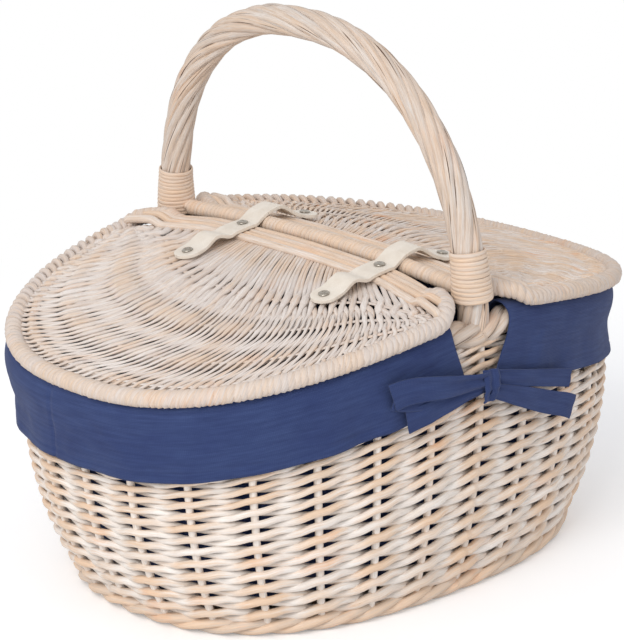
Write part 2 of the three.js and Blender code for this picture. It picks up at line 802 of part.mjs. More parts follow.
// The bag hangs from the cuffs, with room behind it for the handle's legs, and lies on the base.
function linerBag() {
  const insetAt = (angle, height, rim) => {
    const besideLeg = cos(angle) / legSpread;
    const leg = (coreDiameter + legClearance) * Math.exp(-(besideLeg ** 2));
    const low = wallThickness + bagSlack + leg;
    const high = borderWidth - borderBulge + gap;
    return mix(low, max(low, high), smooth(clamp01((height / rim - bagDrawn) / (bagFull - bagDrawn))));
  };
  const floorUnder = (p, angle) => {
    const edge = wallPoint(angle, 0, baseInset);
    return baseTopAt(hypot(p.x, p.y) / hypot(edge.x, edge.y)) + gap + clothEase;
  };
  const wall = (level, inner) =>
    steps(linerSteps, (i) => {
      const angle = turn(i, linerSteps);
      const rim = rimAt(angle);
      const top = rim + borderTop - cuffHold - gap;
      const corner = wallPoint(angle, footHeight, insetAt(angle, footHeight, rim));
      const height = mix(floorUnder(corner, angle), top, level) + (level === 0 ? inner : 0);
      return wallPoint(angle, height, insetAt(angle, height, rim) + inner);
    });
  const bottom = (share, inner) =>
    steps(linerSteps, (i) => {
      const angle = turn(i, linerSteps);
      const p = wallPoint(angle, footHeight, insetAt(angle, footHeight, rimHeight) + footThickness / 2);
      p.multiplyScalar(share);
      return p.setZ(floorUnder(p, angle) + inner);
    });
  const face = (inner) => [
    ...[1, 0.7, 0.4, 0.15, 0].map((level) => wall(level, inner)),
    ...[0.75, 0.4].map((share) => bottom(share, inner)),
  ];
  return sheet(face(0), face(clothThickness), { round: true, floored: true });
}

const tieFace = wallHalfWidth + borderBulge + weaveRelief + gap + clothThickness + 2 * foldDepth; // over the folds

// A tie's ribbon, laid against the cuff from the knot. Places are x and height, with a width.
function ribbon(places, clear, thickness) {
  const rings = places.map(([x, z, width, swell = 0]) => {
    const surface = ovalWidthAt(tieFace + (lidLength - lidWidth) / 2, tieFace, x);
    const inner = -(surface + clear);
    const outer = inner - thickness - swell;
    return [
      new THREE.Vector3(x, inner, z - width / 2),
      new THREE.Vector3(x, inner, z + width / 2),
      new THREE.Vector3(x, outer, z + width * 0.4),
      new THREE.Vector3(x, outer, z - width * 0.4),
    ];
  });
  return loft(rings);
}

// A slip bow: one loop and one tail to the left, two tails to the right.
function linerTie() {
  const clear = gap;
  const front = clear + tieThickness;
  const knot = new THREE.SphereGeometry(0.5, 10, 7).rotateX(PI / 2);
  const depth = 3.2 * tieThickness;
  knot.scale(knotWidth, depth, tieWidth * 1.15);
  knot.translate(0, -(tieFace + clear + depth / 2), knotHeight);
  const start = -knotWidth / 3;
  const loop = ribbon(
    [
      [start, knotHeight + loopRise * 0.2, tieWidth * 0.6, 0.5 * tieThickness],
      [-loopLength * 0.3, knotHeight + loopRise, tieWidth * 1.1, tieThickness],
      [-loopLength * 0.65, knotHeight + loopRise * 1.2, tieWidth * 1.35, 1.6 * tieThickness],
      [-loopLength * 0.93, knotHeight + loopRise, tieWidth * 1.4, 1.4 * tieThickness],
      [-loopLength, knotHeight + loopRise, tieWidth * 1.2, 0.4 * tieThickness],
    ],
    clear,
    tieThickness,
  );
  const tail = (direction, reach, drop) =>
    ribbon(
      [
        [direction * knotWidth * 0.3, knotHeight - loopRise * 0.2, tieWidth * 0.6],
        [direction * reach * 0.35, knotHeight - drop * 0.25, tieWidth * 0.8],
        [direction * reach * 0.7, knotHeight - drop * 0.65, tieWidth],
        [direction * reach, knotHeight - drop, tieWidth],
      ],
      direction < 0 ? clear : front / 2,
      tieThickness,
    );
  return join(
    knot,
    loop,
    tail(-1, loopLength * 0.76, leftDrop),
    tail(1, tailLength * 0.95, rightDrop),
    tail(1, tailLength, frontDrop),
  );
}

// Assembly

add("foot_wale", footWale(), willow);
add("base_weave", baseWeave(), willow);
add("side_weave", sideWeave(), whiteWillow);
add("rim_border", rimBorder(), willow);
add("handle_core", rod(corePath(), coreDiameter, handleSteps, 6), willow);
add("handle_rods", handleRodSweep(), willow);
add("handle_binding_near", footBinding(-1), cane);
add("handle_binding_far", footBinding(1), cane);
add("centre_bar_core", rod(centreBarPath(gap), centreCoreDiameter, barSteps, 6), willow);
add("centre_bar_wrap", centreBarWrap(), cane);
addLid("lid_left", -1);
addLid("lid_right", 1);
addStrap("near", nearStrap);
addStrap("far", farStrap);
add("liner_bag", linerBag(), cotton);
add("liner_cuff_left", linerCuff(-1), cotton);
add("liner_cuff_right", linerCuff(1), cotton);
add("liner_tie_near", linerTie(), cotton);
const farTie = add("liner_tie_far", linerTie(), cotton);
farTie.rotation.z = PI;

export default basket;
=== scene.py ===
import bpy, bmesh
import numpy as np
from functools import partial
from math import atan, atan2, ceil, cos, exp, hypot, pi, radians, sin, sqrt, tau
from mathutils import Matrix, Quaternion, Vector, noise


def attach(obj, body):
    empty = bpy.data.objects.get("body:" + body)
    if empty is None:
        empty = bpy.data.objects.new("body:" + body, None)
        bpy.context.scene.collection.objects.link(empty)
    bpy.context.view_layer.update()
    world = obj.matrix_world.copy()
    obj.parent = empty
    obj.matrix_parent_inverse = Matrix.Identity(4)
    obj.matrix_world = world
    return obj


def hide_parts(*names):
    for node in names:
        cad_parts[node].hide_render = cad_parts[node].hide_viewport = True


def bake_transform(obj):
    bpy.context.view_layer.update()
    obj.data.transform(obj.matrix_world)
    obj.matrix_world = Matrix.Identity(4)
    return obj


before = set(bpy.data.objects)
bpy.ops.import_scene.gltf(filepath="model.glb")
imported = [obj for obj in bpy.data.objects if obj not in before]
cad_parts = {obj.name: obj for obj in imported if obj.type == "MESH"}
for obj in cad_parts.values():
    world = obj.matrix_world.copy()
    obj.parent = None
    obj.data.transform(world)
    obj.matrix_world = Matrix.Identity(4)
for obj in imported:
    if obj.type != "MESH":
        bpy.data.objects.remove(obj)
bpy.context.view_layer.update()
mm = 0.001
scene = bpy.context.scene

# Shapes that the pieces share, in millimetres, as in the part's source.
basket = {
    "ovalPower": 2.45,
    "wallHalf": (216.5, 161.0),  # outside of the wall under the lids
    "footHalf": (177.0, 131.5),
    "hoopHalf": (218.8, 163.3),  # middle of the lid hoops
    "stakeHalf": (198, 147),  # oval along which the stakes are spaced
    "rimHeight": 206.0,
    "rimDrop": 37.5,
    "rimDropPower": 1.32,
    "bellyPower": 2.8,
    "lidDome": 8.0,
    "lidCentre": 6.2,  # middle of a hoop above its underside
    "stakes": 28,
    "footInset": 150.5,  # handle foot from the middle of the basket
    "handleTop": 377.5,
    "handlePower": 2.24,
    "handleLean": -9.5,
}


def mix(a, b, share):
    return a + (b - a) * share


def clamp01(value):
    return min(1.0, max(0.0, value))


def smooth(share):
    return share * share * (3 - 2 * share)


# A soft step from 0 at start to 1 a length further on. With a negative length it steps the other way.
def ramp(value, start, length):
    return smooth(clamp01((value - start) / length))


def hill(value, width):
    return exp(-((value / width) ** 2))


def sway(x, y=0.0, z=0.0):
    return noise.noise(Vector((x, y, z)))


# Distance along a line of places, and the place at a distance.
def runAlong(places):
    return np.concatenate([[0], np.cumsum(np.linalg.norm(np.diff(places, axis=0), axis=1))])


def placeAt(distance, run, places):
    return np.array([np.interp(distance, run, column) for column in places.T])


def ovalPoint(half, angle):
    p = basket["ovalPower"]
    reach = (abs(cos(angle) / half[0]) ** p + abs(sin(angle) / half[1]) ** p) ** (-1 / p)
    return reach * cos(angle), reach * sin(angle)


def ovalNormal(half, place):
    p = basket["ovalPower"]
    slope = [np.sign(v) * abs(v / h) ** (p - 1) / h for v, h in zip(place, half)]
    size = hypot(*slope)
    return slope[0] / size, slope[1] / size


def ovalWidthAt(half, x):
    p = basket["ovalPower"]
    return half[1] * (1 - min(1, abs(x) / half[0]) ** p) ** (1 / p)


def rimLevel(x, halfLength):
    return basket["rimHeight"] - basket["rimDrop"] * min(1, abs(x) / halfLength) ** basket["rimDropPower"]


def rimAt(angle):
    return rimLevel(ovalPoint(basket["wallHalf"], angle)[0], basket["wallHalf"][0])


# The right cuff's tie draws the wall in a little at the near side.
waist = {"angle": -0.57, "width": 0.45, "in": 5.2, "below": 30.0, "above": 13.0, "under": 22.0}


def waistAt(angle, below):
    away = (below + waist["below"]) / (waist["above"] if below > -waist["below"] else waist["under"])
    return waist["in"] * exp(-2 * (1 - cos(angle - waist["angle"])) / waist["width"] ** 2) * hill(away, 1)


def wallPoint(angle, height, inset):
    inset += waistAt(angle, height - rimAt(angle))
    swell = 1 - (1 - clamp01(height / rimAt(angle))) ** basket["bellyPower"]
    half = [mix(f, w, swell) for f, w in zip(basket["footHalf"], basket["wallHalf"])]
    place = ovalPoint(half, angle)
    normal = ovalNormal(half, place)
    return place[0] - normal[0] * inset, place[1] - normal[1] * inset, height


def rimPoint(angle, below, inset):
    return wallPoint(angle, rimAt(angle) + below, inset)


def lidLevel(x, y):
    half = basket["hoopHalf"]
    dome = max(0, 1 - (x / half[0]) ** 2 - (y / half[1]) ** 2)
    return rimLevel(x, half[0]) + basket["lidCentre"] + basket["lidDome"] * dome


# Stakes stand at equal steps round the oval, the first beside the near foot of the handle.
roundAngles = [tau * i / 1440 - pi / 2 for i in range(1441)]
roundRun = runAlong([ovalPoint(basket["stakeHalf"], a) for a in roundAngles])


def angleAtStake(stake):
    turns, rest = divmod(stake / basket["stakes"], 1.0)
    return float(np.interp(rest * roundRun[-1], roundRun, roundAngles)) + tau * turns


# Materials


def colour(code):
    parts = [int(code[i : i + 2], 16) / 255 for i in (0, 2, 4)]
    return tuple(p / 12.92 if p <= 0.04045 else ((p + 0.055) / 1.055) ** 2.4 for p in parts) + (1,)


def duller(code, share):
    return "".join(f"{round(int(code[i : i + 2], 16) * share):02X}" for i in (0, 2, 4))


# Adds nodes to a tree. Most methods give the new node's output, ready to be an input of the next.
class Nodes:
    def __init__(self, tree):
        self.tree = tree
        tree.nodes.clear()

    def add(self, kind, inputs=(), **settings):
        node = self.tree.nodes.new("ShaderNode" + kind)
        for key, value in settings.items():
            setattr(node, key, value)
        for socket, value in dict(inputs).items():
            if isinstance(value, bpy.types.NodeSocket):
                self.tree.links.new(value, node.inputs[socket])
            else:
                node.inputs[socket].default_value = value
        return node

    def attribute(self, name, output="Fac"):
        return self.add("Attribute", attribute_name=name).outputs[output]

    def place(self):
        return self.add("TexCoord").outputs["Object"]

    def stretched(self, vector, *factors):
        return self.add("VectorMath", {0: vector, 1: factors}, operation="MULTIPLY").outputs[0]

    def noise(self, vector, scale, detail, roughness=0.5):
        inputs = {"Vector": vector, "Scale": scale, "Detail": detail, "Roughness": roughness}
        return self.add("TexNoise", inputs).outputs["Fac"]

    def random(self, value):
        return self.add("TexWhiteNoise", {"W": value}, noise_dimensions="1D").outputs["Value"]

    def span(self, value, low, high, toLow=0.0, toHigh=1.0, **settings):
        inputs = {"Value": value, "From Min": low, "From Max": high, "To Min": toLow, "To Max": toHigh}
        return self.add("MapRange", inputs, **settings).outputs[0]

    def math(self, operation, *values, **settings):
        return self.add("Math", enumerate(values), operation=operation, **settings).outputs[0]

    def blend(self, share, a, b):
        a, b = (colour(tint) if isinstance(tint, str) else tint for tint in (a, b))
        return self.add("Mix", {0: share, 6: a, 7: b}, data_type="RGBA").outputs[2]

    def bump(self, height, strength, distance):
        return self.add("Bump", {"Height": height, "Strength": strength, "Distance": distance}).outputs[0]

    def mixed(self, share, a, b):
        return self.add("MixShader", {0: share, 1: a, 2: b}).outputs[0]

    # 1 for a ray of one of these kinds
    def seenBy(self, first, *others):
        rays = self.add("LightPath").outputs
        seen = rays[f"Is {first} Ray"]
        for kind in others:
            seen = self.math("MAXIMUM", seen, rays[f"Is {kind} Ray"])
        return seen

    def skin(self, inputs):
        return self.add("OutputMaterial", {"Surface": self.add("BsdfPrincipled", inputs).outputs[0]})


def newMaterial(name):
    material = bpy.data.materials.new(name)
    material.use_nodes = True
    return material, Nodes(material.node_tree)


willowLook = {
    "white": "F1EAE4",
    "grey": "E2D8D0",
    "tan": "E0C8B0",
    "peach": "F0D0B2",
    "orange": "E8B188",
    "shade": "A98C72",
    # dark tone for bark nicks, and for the painted shade of slits between rods
    "bark": "5E4433",
    "bareShare": 0.16,  # bare wood where nothing rubs
    "rubbedShare": 0.7,  # and how much more on the crests
    "rodShare": 0.25,  # difference from rod to rod
    "streakShare": 0.42,  # and along a rod
    "fibreShade": 0.2,
    # painted shade: dark lines for shadowed slits between rods, off unless asked
    "slitShadeShare": 0.0,
    "orangeShare": 0.55,
}


# Peeled willow under a rubbed lime wash: white in the hollows, peach bare wood on the crests,
# with fine streaks along each rod, a tint of its own for each rod, a few dark bark nicks and, where asked, painted
# shade: dark lines for the shadowed slits between rods.
# Changes are made to willowLook, and every colour is dulled to the share in shade.
def limedWillow(name, shade=1.0, **changes):
    look = {**willowLook, **changes}
    look = {key: duller(value, shade) if isinstance(value, str) else value for key, value in look.items()}
    material, tree = newMaterial(name)
    grain = tree.attribute("grain", "Vector")
    rod, rubbed = tree.attribute("rodTint"), tree.attribute("rubbed")
    streaks = tree.noise(tree.stretched(grain, 0.05, 0.75, 0.75), 1.0, 3.0, 0.6)  # 20 mm long, 1.3 mm wide
    fibres = tree.noise(tree.stretched(grain, 0.09, 2.2, 2.2), 1.0, 2.0)  # drawn 0.45 mm wide to show
    # painted shade: dark lines 50 mm long along a rod, for the shadowed slits between rods
    slitShade = tree.noise(tree.stretched(grain, 0.018, 0.8, 0.8), 1.0, 1.0)  # 50 mm long
    patches = tree.noise(tree.place(), 26.0, 2.0, 0.55)  # 40 mm across
    rodTint, otherTint = tree.random(rod), tree.random(tree.math("ADD", rod, 0.37))
    # bare wood, from tan over peach to orange
    warm = tree.math("MULTIPLY_ADD", rodTint, 0.45, tree.span(patches, 0.35, 0.68, 0.0, 0.55), use_clamp=True)
    bare = tree.blend(warm, look["tan"], look["peach"])
    bare = tree.blend(tree.span(patches, 0.6, 0.74, 0.0, look["orangeShare"]), bare, look["orange"])
    # wash, from white to grey, and where it is worn off
    wash = tree.blend(otherTint, look["white"], look["grey"])
    worn = tree.math("MULTIPLY_ADD", rubbed, look["rubbedShare"], look["bareShare"])
    worn = tree.math("ADD", worn, tree.span(streaks, 0.3, 0.7, -look["streakShare"], look["streakShare"]))
    byRod = tree.span(rodTint, 0.0, 1.0, -look["rodShare"], look["rodShare"])
    worn = tree.math("ADD", worn, byRod, use_clamp=True)
    wood = tree.blend(worn, wash, bare)
    # fibres darken a little, nicks a lot, and the painted shade of slits between rods a lot
    wood = tree.blend(tree.span(fibres, 0.32, 0.62, look["fibreShade"], 0.0), wood, look["shade"])
    wood = tree.blend(tree.span(streaks, 0.7, 0.78, 0.0, 0.6), wood, look["bark"])
    wood = tree.blend(tree.span(slitShade, 0.655, 0.7, 0.0, look["slitShadeShare"]), wood, look["bark"])
    relief = tree.math("MULTIPLY_ADD", fibres, 0.35, streaks)
    tree.skin(
        {
            "Base Color": wood,
            "Roughness": tree.span(worn, 0.0, 1.0, 0.78, 0.52),
            "Normal": tree.bump(relief, 0.7, 0.0004),
            "IOR": 1.5,
            "Specular IOR Level": 0.35,
        }
    )
    return material


sideColours = {"white": "F7F1EA", "grey": "E9E0D7", "peach": "EECBAA"}
sideWillow = limedWillow("limed_willow_sides", bareShare=0.08, rubbedShare=0.9, **sideColours)
lidWillow = limedWillow("limed_willow_lid_left", 0.965, bareShare=0.1, rubbedShare=0.5, fibreShade=0.3)
rightColours = {"orange": "E9AE80", "orangeShare": 1.0, "rodShare": 0.4, "streakShare": 0.75, "fibreShade": 0.5}
lidWillowRight = limedWillow("limed_willow_lid_right", 0.995, bareShare=0.4, rubbedShare=0.55, **rightColours)
hoopWillow = limedWillow("limed_willow_hoops", 0.955, bareShare=0.16, rubbedShare=0.5, fibreShade=0.3)
# the handle gets painted shade: dark lines for the shadowed slits between thinner rods
handleShares = {"rodShare": 0.15, "fibreShade": 0.35, "slitShadeShare": 1.0}
handleWillow = limedWillow("limed_willow_handle", 0.93, bareShare=0.38, rubbedShare=0.35, **handleShares)
caneShares = {"orangeShare": 0.3, "fibreShade": 0.3}
bareCane = limedWillow("split_cane_binding", 0.975, bareShare=0.5, rubbedShare=0.35, **caneShares)
footWillow = limedWillow("limed_willow_foot", white="E6DDD5", grey="CFC2B6", bareShare=0.3)


# Plain-woven cotton, navy, matt: fine threads both ways, slubs, and faded clouds.
def plainCotton(name, look):
    material, tree = newMaterial(name)
    grain = tree.attribute("grain", "Vector")
    turned = tree.add("Mapping", {"Vector": grain, "Rotation": (0, 0, pi / 2)}).outputs[0]
    wave = {"Scale": look["threadScale"], "Distortion": 1.2, "Detail": 1.0, "Detail Scale": 0.4}
    threads = [
        tree.add("TexWave", {"Vector": vector, **wave}, wave_type="BANDS", bands_direction="X").outputs["Fac"]
        for vector in (grain, turned)
    ]
    cloth = tree.math("MULTIPLY", *threads)
    slubs = tree.noise(tree.stretched(grain, 0.04, 0.5, 1.0), 1.0, 3.0)
    clouds = tree.noise(grain, 0.035, 3.0, 0.6)
    dyed = tree.blend(tree.span(clouds, 0.3, 0.7), look["navy"], look["faded"])
    dyed = tree.blend(tree.span(slubs, 0.3, 0.7, 0.0, 0.5), dyed, look["deep"])
    dyed = tree.blend(tree.span(cloth, 0.0, 1.0, 0.3, 0.0), dyed, look["deep"])
    relief = tree.math("MULTIPLY_ADD", slubs, 1.5, cloth)
    tree.skin(
        {
            "Base Color": dyed,
            "Roughness": 0.88,
            "Normal": tree.bump(relief, 0.5, 0.0003),
            "IOR": 1.45,
            "Specular IOR Level": 0.2,
            "Sheen Weight": 0.08,
            "Sheen Roughness": 0.5,
        }
    )
    return material


cottonLook = {"navy": "364470", "faded": "41517C", "deep": "232E54", "threadScale": 0.3}  # threads 1 mm apart to show
navyCotton = plainCotton("navy_plain_cotton", cottonLook)


# Cream bridle leather: smooth, satin, with faint pores 1.1 mm apart.
def creamLeather(name, look):
    material, tree = newMaterial(name)
    grain = tree.attribute("grain", "Vector")
    pores = tree.add("TexVoronoi", {"Vector": grain, "Scale": 0.9}).outputs["Distance"]
    clouds = tree.noise(grain, 0.09, 4.0)
    hide = tree.blend(tree.span(clouds, 0.35, 0.65), look["cream"], look["ivory"])
    relief = tree.math("MULTIPLY_ADD", clouds, 2.0, pores)
    tree.skin({"Base Color": hide, "Roughness": 0.46, "Normal": tree.bump(relief, 0.35, 0.0002), "IOR": 1.5})
    return material


strapLeather = creamLeather("cream_strap_leather", {"cream": "E6DDD0", "ivory": "DDD2C3"})


# Nickel-plated steel, polished: bright, with fine turning marks.
def platedSteel(name):
    material, tree = newMaterial(name)
    marks = tree.noise(tree.place(), 900.0, 2.0)
    dull = tree.blend(marks, "B5AFA6", "8D867C")
    tree.skin({"Base Color": dull, "Metallic": 1.0, "Roughness": tree.span(marks, 0.0, 1.0, 0.16, 0.36)})
    return material


rivetSteel = platedSteel("nickel_plated_steel")

# Makers


def linked(name, data):
    holder = bpy.data.objects.new(name, data)
    scene.collection.objects.link(holder)
    return holder


# The mesh that an object's curve or modifiers make. The object goes.
def takenMesh(holder, name):
    bpy.context.view_layer.update()
    mesh = bpy.data.meshes.new_from_object(holder.evaluated_get(bpy.context.evaluated_depsgraph_get()))
    bpy.data.objects.remove(holder)
    mesh.name = name
    return mesh


def meshFrom(build, name):
    mesh = bpy.data.meshes.new(name)
    build.to_mesh(mesh)
    build.free()
    mesh.shade_smooth()
    return mesh


# Points at equal shares of a rod's way, and whether its ends meet. A point is x, y, z, radius and how
# rubbed the wood is.
def rodOf(steps, pointAt, closed=False):
    return [pointAt(i / steps) for i in range(steps if closed else steps + 1)], closed


# Rods are curves with a round or flat section.
def rodMesh(name, rods, sides, flat):
    turns = [tau * k / sides for k in range(sides)]
    path = bpy.data.curves.new(name + "_path", "CURVE")
    path.dimensions = "3D"
    section = None
    if flat:
        outline = bpy.data.curves.new(name + "_section", "CURVE")
        outline.dimensions = "2D"
        ring = outline.splines.new("POLY")
        ring.points.add(sides - 1)
        ring.use_cyclic_u = True
        for turn, point in zip(turns, ring.points):
            point.co = (flat[0] * mm * cos(turn), -flat[1] * mm * sin(turn), 0, 1)
        section = linked(name + "_section", outline)
        path.twist_mode = "Z_UP"
        path.bevel_mode = "OBJECT"
        path.bevel_object = section
    else:
        path.twist_mode = "MINIMUM"
        path.bevel_depth = mm
        path.bevel_resolution = (sides - 4) // 2
    grain, tint, rubbed = [], [], []
    for index, (points, closed) in enumerate(rods):
        spline = path.splines.new("POLY")
        spline.points.add(len(points) - 1)
        spline.use_cyclic_u = closed
        spline.points.foreach_set("co", [c for p in points for c in (p[0] * mm, p[1] * mm, p[2] * mm, 1)])
        spline.points.foreach_set("radius", [p[3] for p in points])
        # each rod takes its wood from a place of its own
        start = (61 * index, 17 * (index % 97), 31 * (index % 89))
        for p, along in zip(points, runAlong([p[:3] for p in points])):
            for turn in turns:
                grain.append((along + start[0], p[3] * cos(turn) + start[1], p[3] * sin(turn) + start[2]))
                tint.append(index * 0.173)
                rubbed.append(clamp01(p[4]))
    mesh = takenMesh(linked(name + "_path", path), name)
    if section:
        bpy.data.objects.remove(section)
    for key, values in (("grain", grain), ("rodTint", tint), ("rubbed", rubbed)):
        kind, entry = ("FLOAT_VECTOR", "vector") if key == "grain" else ("FLOAT", "value")
        mesh.attributes.new(key, kind, "POINT").data.foreach_set(entry, np.array(values, np.float32).ravel())
    if not all(closed for _, closed in rods):
        ends = bmesh.new()
        ends.from_mesh(mesh)
        bmesh.ops.holes_fill(ends, edges=ends.edges, sides=0)
        ends.to_mesh(mesh)
        ends.free()
    mesh.shade_smooth()
    return mesh


# A sheet starts as a grid. Its place function gives x, y, z and the two distances on it, in millimetres.
def sheetMesh(name, across, down, place, thickness, closed=False, bevel=0.0):
    cloth = bmesh.new()
    bmesh.ops.create_grid(cloth, x_segments=across, y_segments=down, size=0.5)
    grain = cloth.verts.layers.float_vector.new("grain")
    for vert in cloth.verts:
        x, y, z, alongCloth, downCloth = place(vert.co.x + 0.5, vert.co.y + 0.5)
        vert[grain] = (alongCloth, downCloth, 0)
        vert.co = (x * mm, y * mm, z * mm)
    if closed:
        bmesh.ops.remove_doubles(cloth, verts=cloth.verts, dist=0.00002)
    holder = linked(name + "_thick", meshFrom(cloth, name))
    wall = holder.modifiers.new("thickness", "SOLIDIFY")
    wall.thickness = thickness * mm
    wall.offset = 0
    if bevel:
        edge = holder.modifiers.new("skived edge", "BEVEL")
        edge.width = bevel * mm
        edge.segments = 3
        edge.limit_method = "ANGLE"
        edge.angle_limit = radians(50)
    thick = takenMesh(holder, name)
    thick.shade_smooth()
    return thick


def addPiece(name, mesh, body, material, slot, *nodes):
    piece = linked(name, mesh)
    mesh.materials.clear()
    mesh.materials.append(material)
    if body:
        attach(piece, body)
    if nodes:
        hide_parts(*nodes)
    return piece


def addRods(name, rods, body, material, slot, *nodes, sides=8, flat=None):
    return addPiece(name, rodMesh(name, rods, sides, flat), body, material, slot, *nodes)


# A smooth line through points in a plane, at equal steps.
def curveThrough(points, count):
    path = bpy.data.curves.new("through", "CURVE")
    path.dimensions = "3D"
    spline = path.splines.new("NURBS")
    spline.points.add(len(points) - 1)
    spline.points.foreach_set("co", [c for x, y in points for c in (x, y, 0, 1)])
    spline.use_endpoint_u = True
    spline.order_u = 4
    spline.resolution_u = max(2, ceil(count / (len(points) - 1)))
    places = np.array([v.co[:2] for v in takenMesh(linked("through", path), "through").vertices])
    run = runAlong(places)
    return np.array([placeAt(s, run, places) for s in np.linspace(0, run[-1], count)])


# Woven sides

sideWeave = {
    "rows": 17,
    "bottom": 13.0,
    "top": -17.5,  # under the rim
    "closer": 0.33,  # rows closer together towards the top
    "middle": 4.4,  # middle of the weave inside the wall's outside
    "reach": 3.3,  # of a weaver to either side of the stakes
    "onStake": 0.285,  # half height of a weaver there, as a share of the row
    "between": 0.265,  # and where it crosses its fellow
    "part": 0.25,  # how far the two then stand apart
    "parting": (0.05, 0.33),  # from here past a stake, over this much of the way to the next
    "lean": 0.5,  # the one behind a stake lies lower
    "lowest": 9.0,
    "steps": 12,  # points from stake to stake
    "section": (0.8, 1.0),
}
sideStake = {"radius": 2.7, "inset": 3.8, "bottom": 4.0, "top": -6.0, "steps": 24}


def sideLevel(angle, share):
    level = share * (1 + sideWeave["closer"] * (1 - share))
    return mix(sideWeave["bottom"], rimAt(angle) + sideWeave["top"], level)


# The two weavers of a row lie behind each other at a stake and above each other between stakes.
def weaverPoint(row, strand, stake):
    angle = angleAtStake(stake)
    turn = pi * (stake + strand)
    parted = ramp(abs(stake - round(stake)), *sideWeave["parting"])
    low, centre, high = (sideLevel(angle, (row + k) / sideWeave["rows"]) for k in (0, 0.5, 1))
    pitch = high - low
    lift = np.sign(sin(turn)) * sideWeave["part"] * pitch * parted + 0.5 * sway(stake * 0.8, row * 3.1, strand)
    inset = sideWeave["middle"] - sideWeave["reach"] * cos(turn) + 0.4 * sway(stake * 1.3, row * 2.3, 5 + strand)
    lower = sideWeave["lean"] * (inset - sideWeave["middle"] + sideWeave["reach"])
    radius = pitch * mix(sideWeave["onStake"], sideWeave["between"], parted)
    radius *= 1 + 0.16 * sway(stake * 0.7, row * 5.7, 9 + strand)
    rubbed = max(0, cos(turn)) * (0.85 + 1.1 * sway(stake * 0.9, row * 4.1, strand))
    x, y, z = wallPoint(angle, max(sideWeave["lowest"], centre + lift - lower), inset)
    return x, y, z, radius, rubbed


def sideWeavers():
    stakes = basket["stakes"]
    return [
        rodOf(stakes * sideWeave["steps"], lambda share: weaverPoint(row, strand, share * stakes), True)
        for row in range(sideWeave["rows"])
        for strand in (0, 1)
    ]


def stakePoint(stake, share):
    angle = angleAtStake(stake)
    height = mix(sideStake["bottom"], rimAt(angle) + sideStake["top"], share)
    inset = sideStake["inset"] + 0.5 * sway(stake * 3.3, share * 4.8)
    return *wallPoint(angle, height, inset), sideStake["radius"], 0.0


weaverFlat = sideWeave["section"]
addRods("sides_weavers", sideWeavers(), "basket", sideWillow, "white_willow", "side_weave", flat=weaverFlat)
sideStakes = [rodOf(sideStake["steps"], partial(stakePoint, stake)) for stake in range(basket["stakes"])]
addRods("sides_stakes", sideStakes, "basket", sideWillow, "white_willow")
print("woven sides")

# Foot, base and border

footWale = {
    "strands": 3,
    "radius": 3.5,
    "twist": 3.2,
    "turns": 14,
    "level": 6.9,
    "inset": 3.2,
    "steps": 504,
    "seed": 3,
}
rimBorder = {
    "strands": 4,
    "radius": 4.3,
    "twist": 5.3,
    "turns": 16,
    "level": -7.9,  # from the rim
    "inset": 9.2,
    "dip": 7.0,  # pressed down beside the handle's feet
    "dipLength": 20.0,
    "dipInward": 0.35,
    "steps": 640,
    "seed": 4,
}


def ropeRound(rope, centreAt):
    twist, steps = rope["twist"], rope["steps"]

    def point(strand, share):
        turn = tau * (rope["turns"] * share + strand / rope["strands"])
        place = centreAt(angleAtStake(basket["stakes"] * share), twist * cos(turn), twist * sin(turn))
        width = rope["radius"] * (1 + 0.1 * sway(steps * share * 0.05, strand * 7.1, rope["seed"]))
        return *place, width, 0.3 + 0.5 * cos(turn)

    return [rodOf(steps, partial(point, strand), True) for strand in range(rope["strands"])]


def footCentre(angle, out, up):
    return wallPoint(angle, max(0.1, footWale["level"] + up), footWale["inset"] - out)


def borderCentre(angle, out, up):
    dip = rimBorder["dip"] * hill(ovalPoint(basket["wallHalf"], angle)[0], rimBorder["dipLength"])
    inset = rimBorder["inset"] - out - rimBorder["dipInward"] * dip
    return rimPoint(angle, rimBorder["level"] + up - dip, inset)


baseWeave = {
    "half": (163.0, 118.0),
    "level": 6.6,
    "crown": 4.2,
    "rings": 10,
    "ringStep": 11.4,
    "radius": 2.3,
    "reach": 2.0,  # of a weaver over and under the sticks
    "aside": 1.9,
    "sticks": 6,  # across, to either side of the middle
    "stickPitch": 22.0,
    "longPitch": 9.0,  # of the three sticks along the base
    "longLower": 1.5,
    "stickRadius": 2.6,
    "stickPast": 4.0,  # sticks end past the outermost ring
}


def baseLevel(x, y):
    share = (x / baseWeave["half"][0]) ** 2 + (y / baseWeave["half"][1]) ** 2
    return baseWeave["level"] + baseWeave["crown"] * max(0, 1 - share)


def baseRing(ring, strand):
    half = [h - baseWeave["ringStep"] * ring for h in baseWeave["half"]]
    spokes = max(12, 2 * round(13 - ring * 0.9) + 2)  # fewer further in

    def point(share):
        turn = pi * (spokes * share + strand)
        x, y = ovalPoint(half, tau * share)
        nx, ny = ovalNormal(half, (x, y))
        aside = baseWeave["aside"] * sin(turn)
        z = baseLevel(x, y) + baseWeave["reach"] * cos(turn)
        return x + nx * aside, y + ny * aside, z, baseWeave["radius"], 0.4

    return rodOf(6 * spokes, point, True)


def baseStick(places, lower=0.0):
    return [(x, y, baseLevel(x, y) - lower, baseWeave["stickRadius"], 0.3) for x, y in places], False


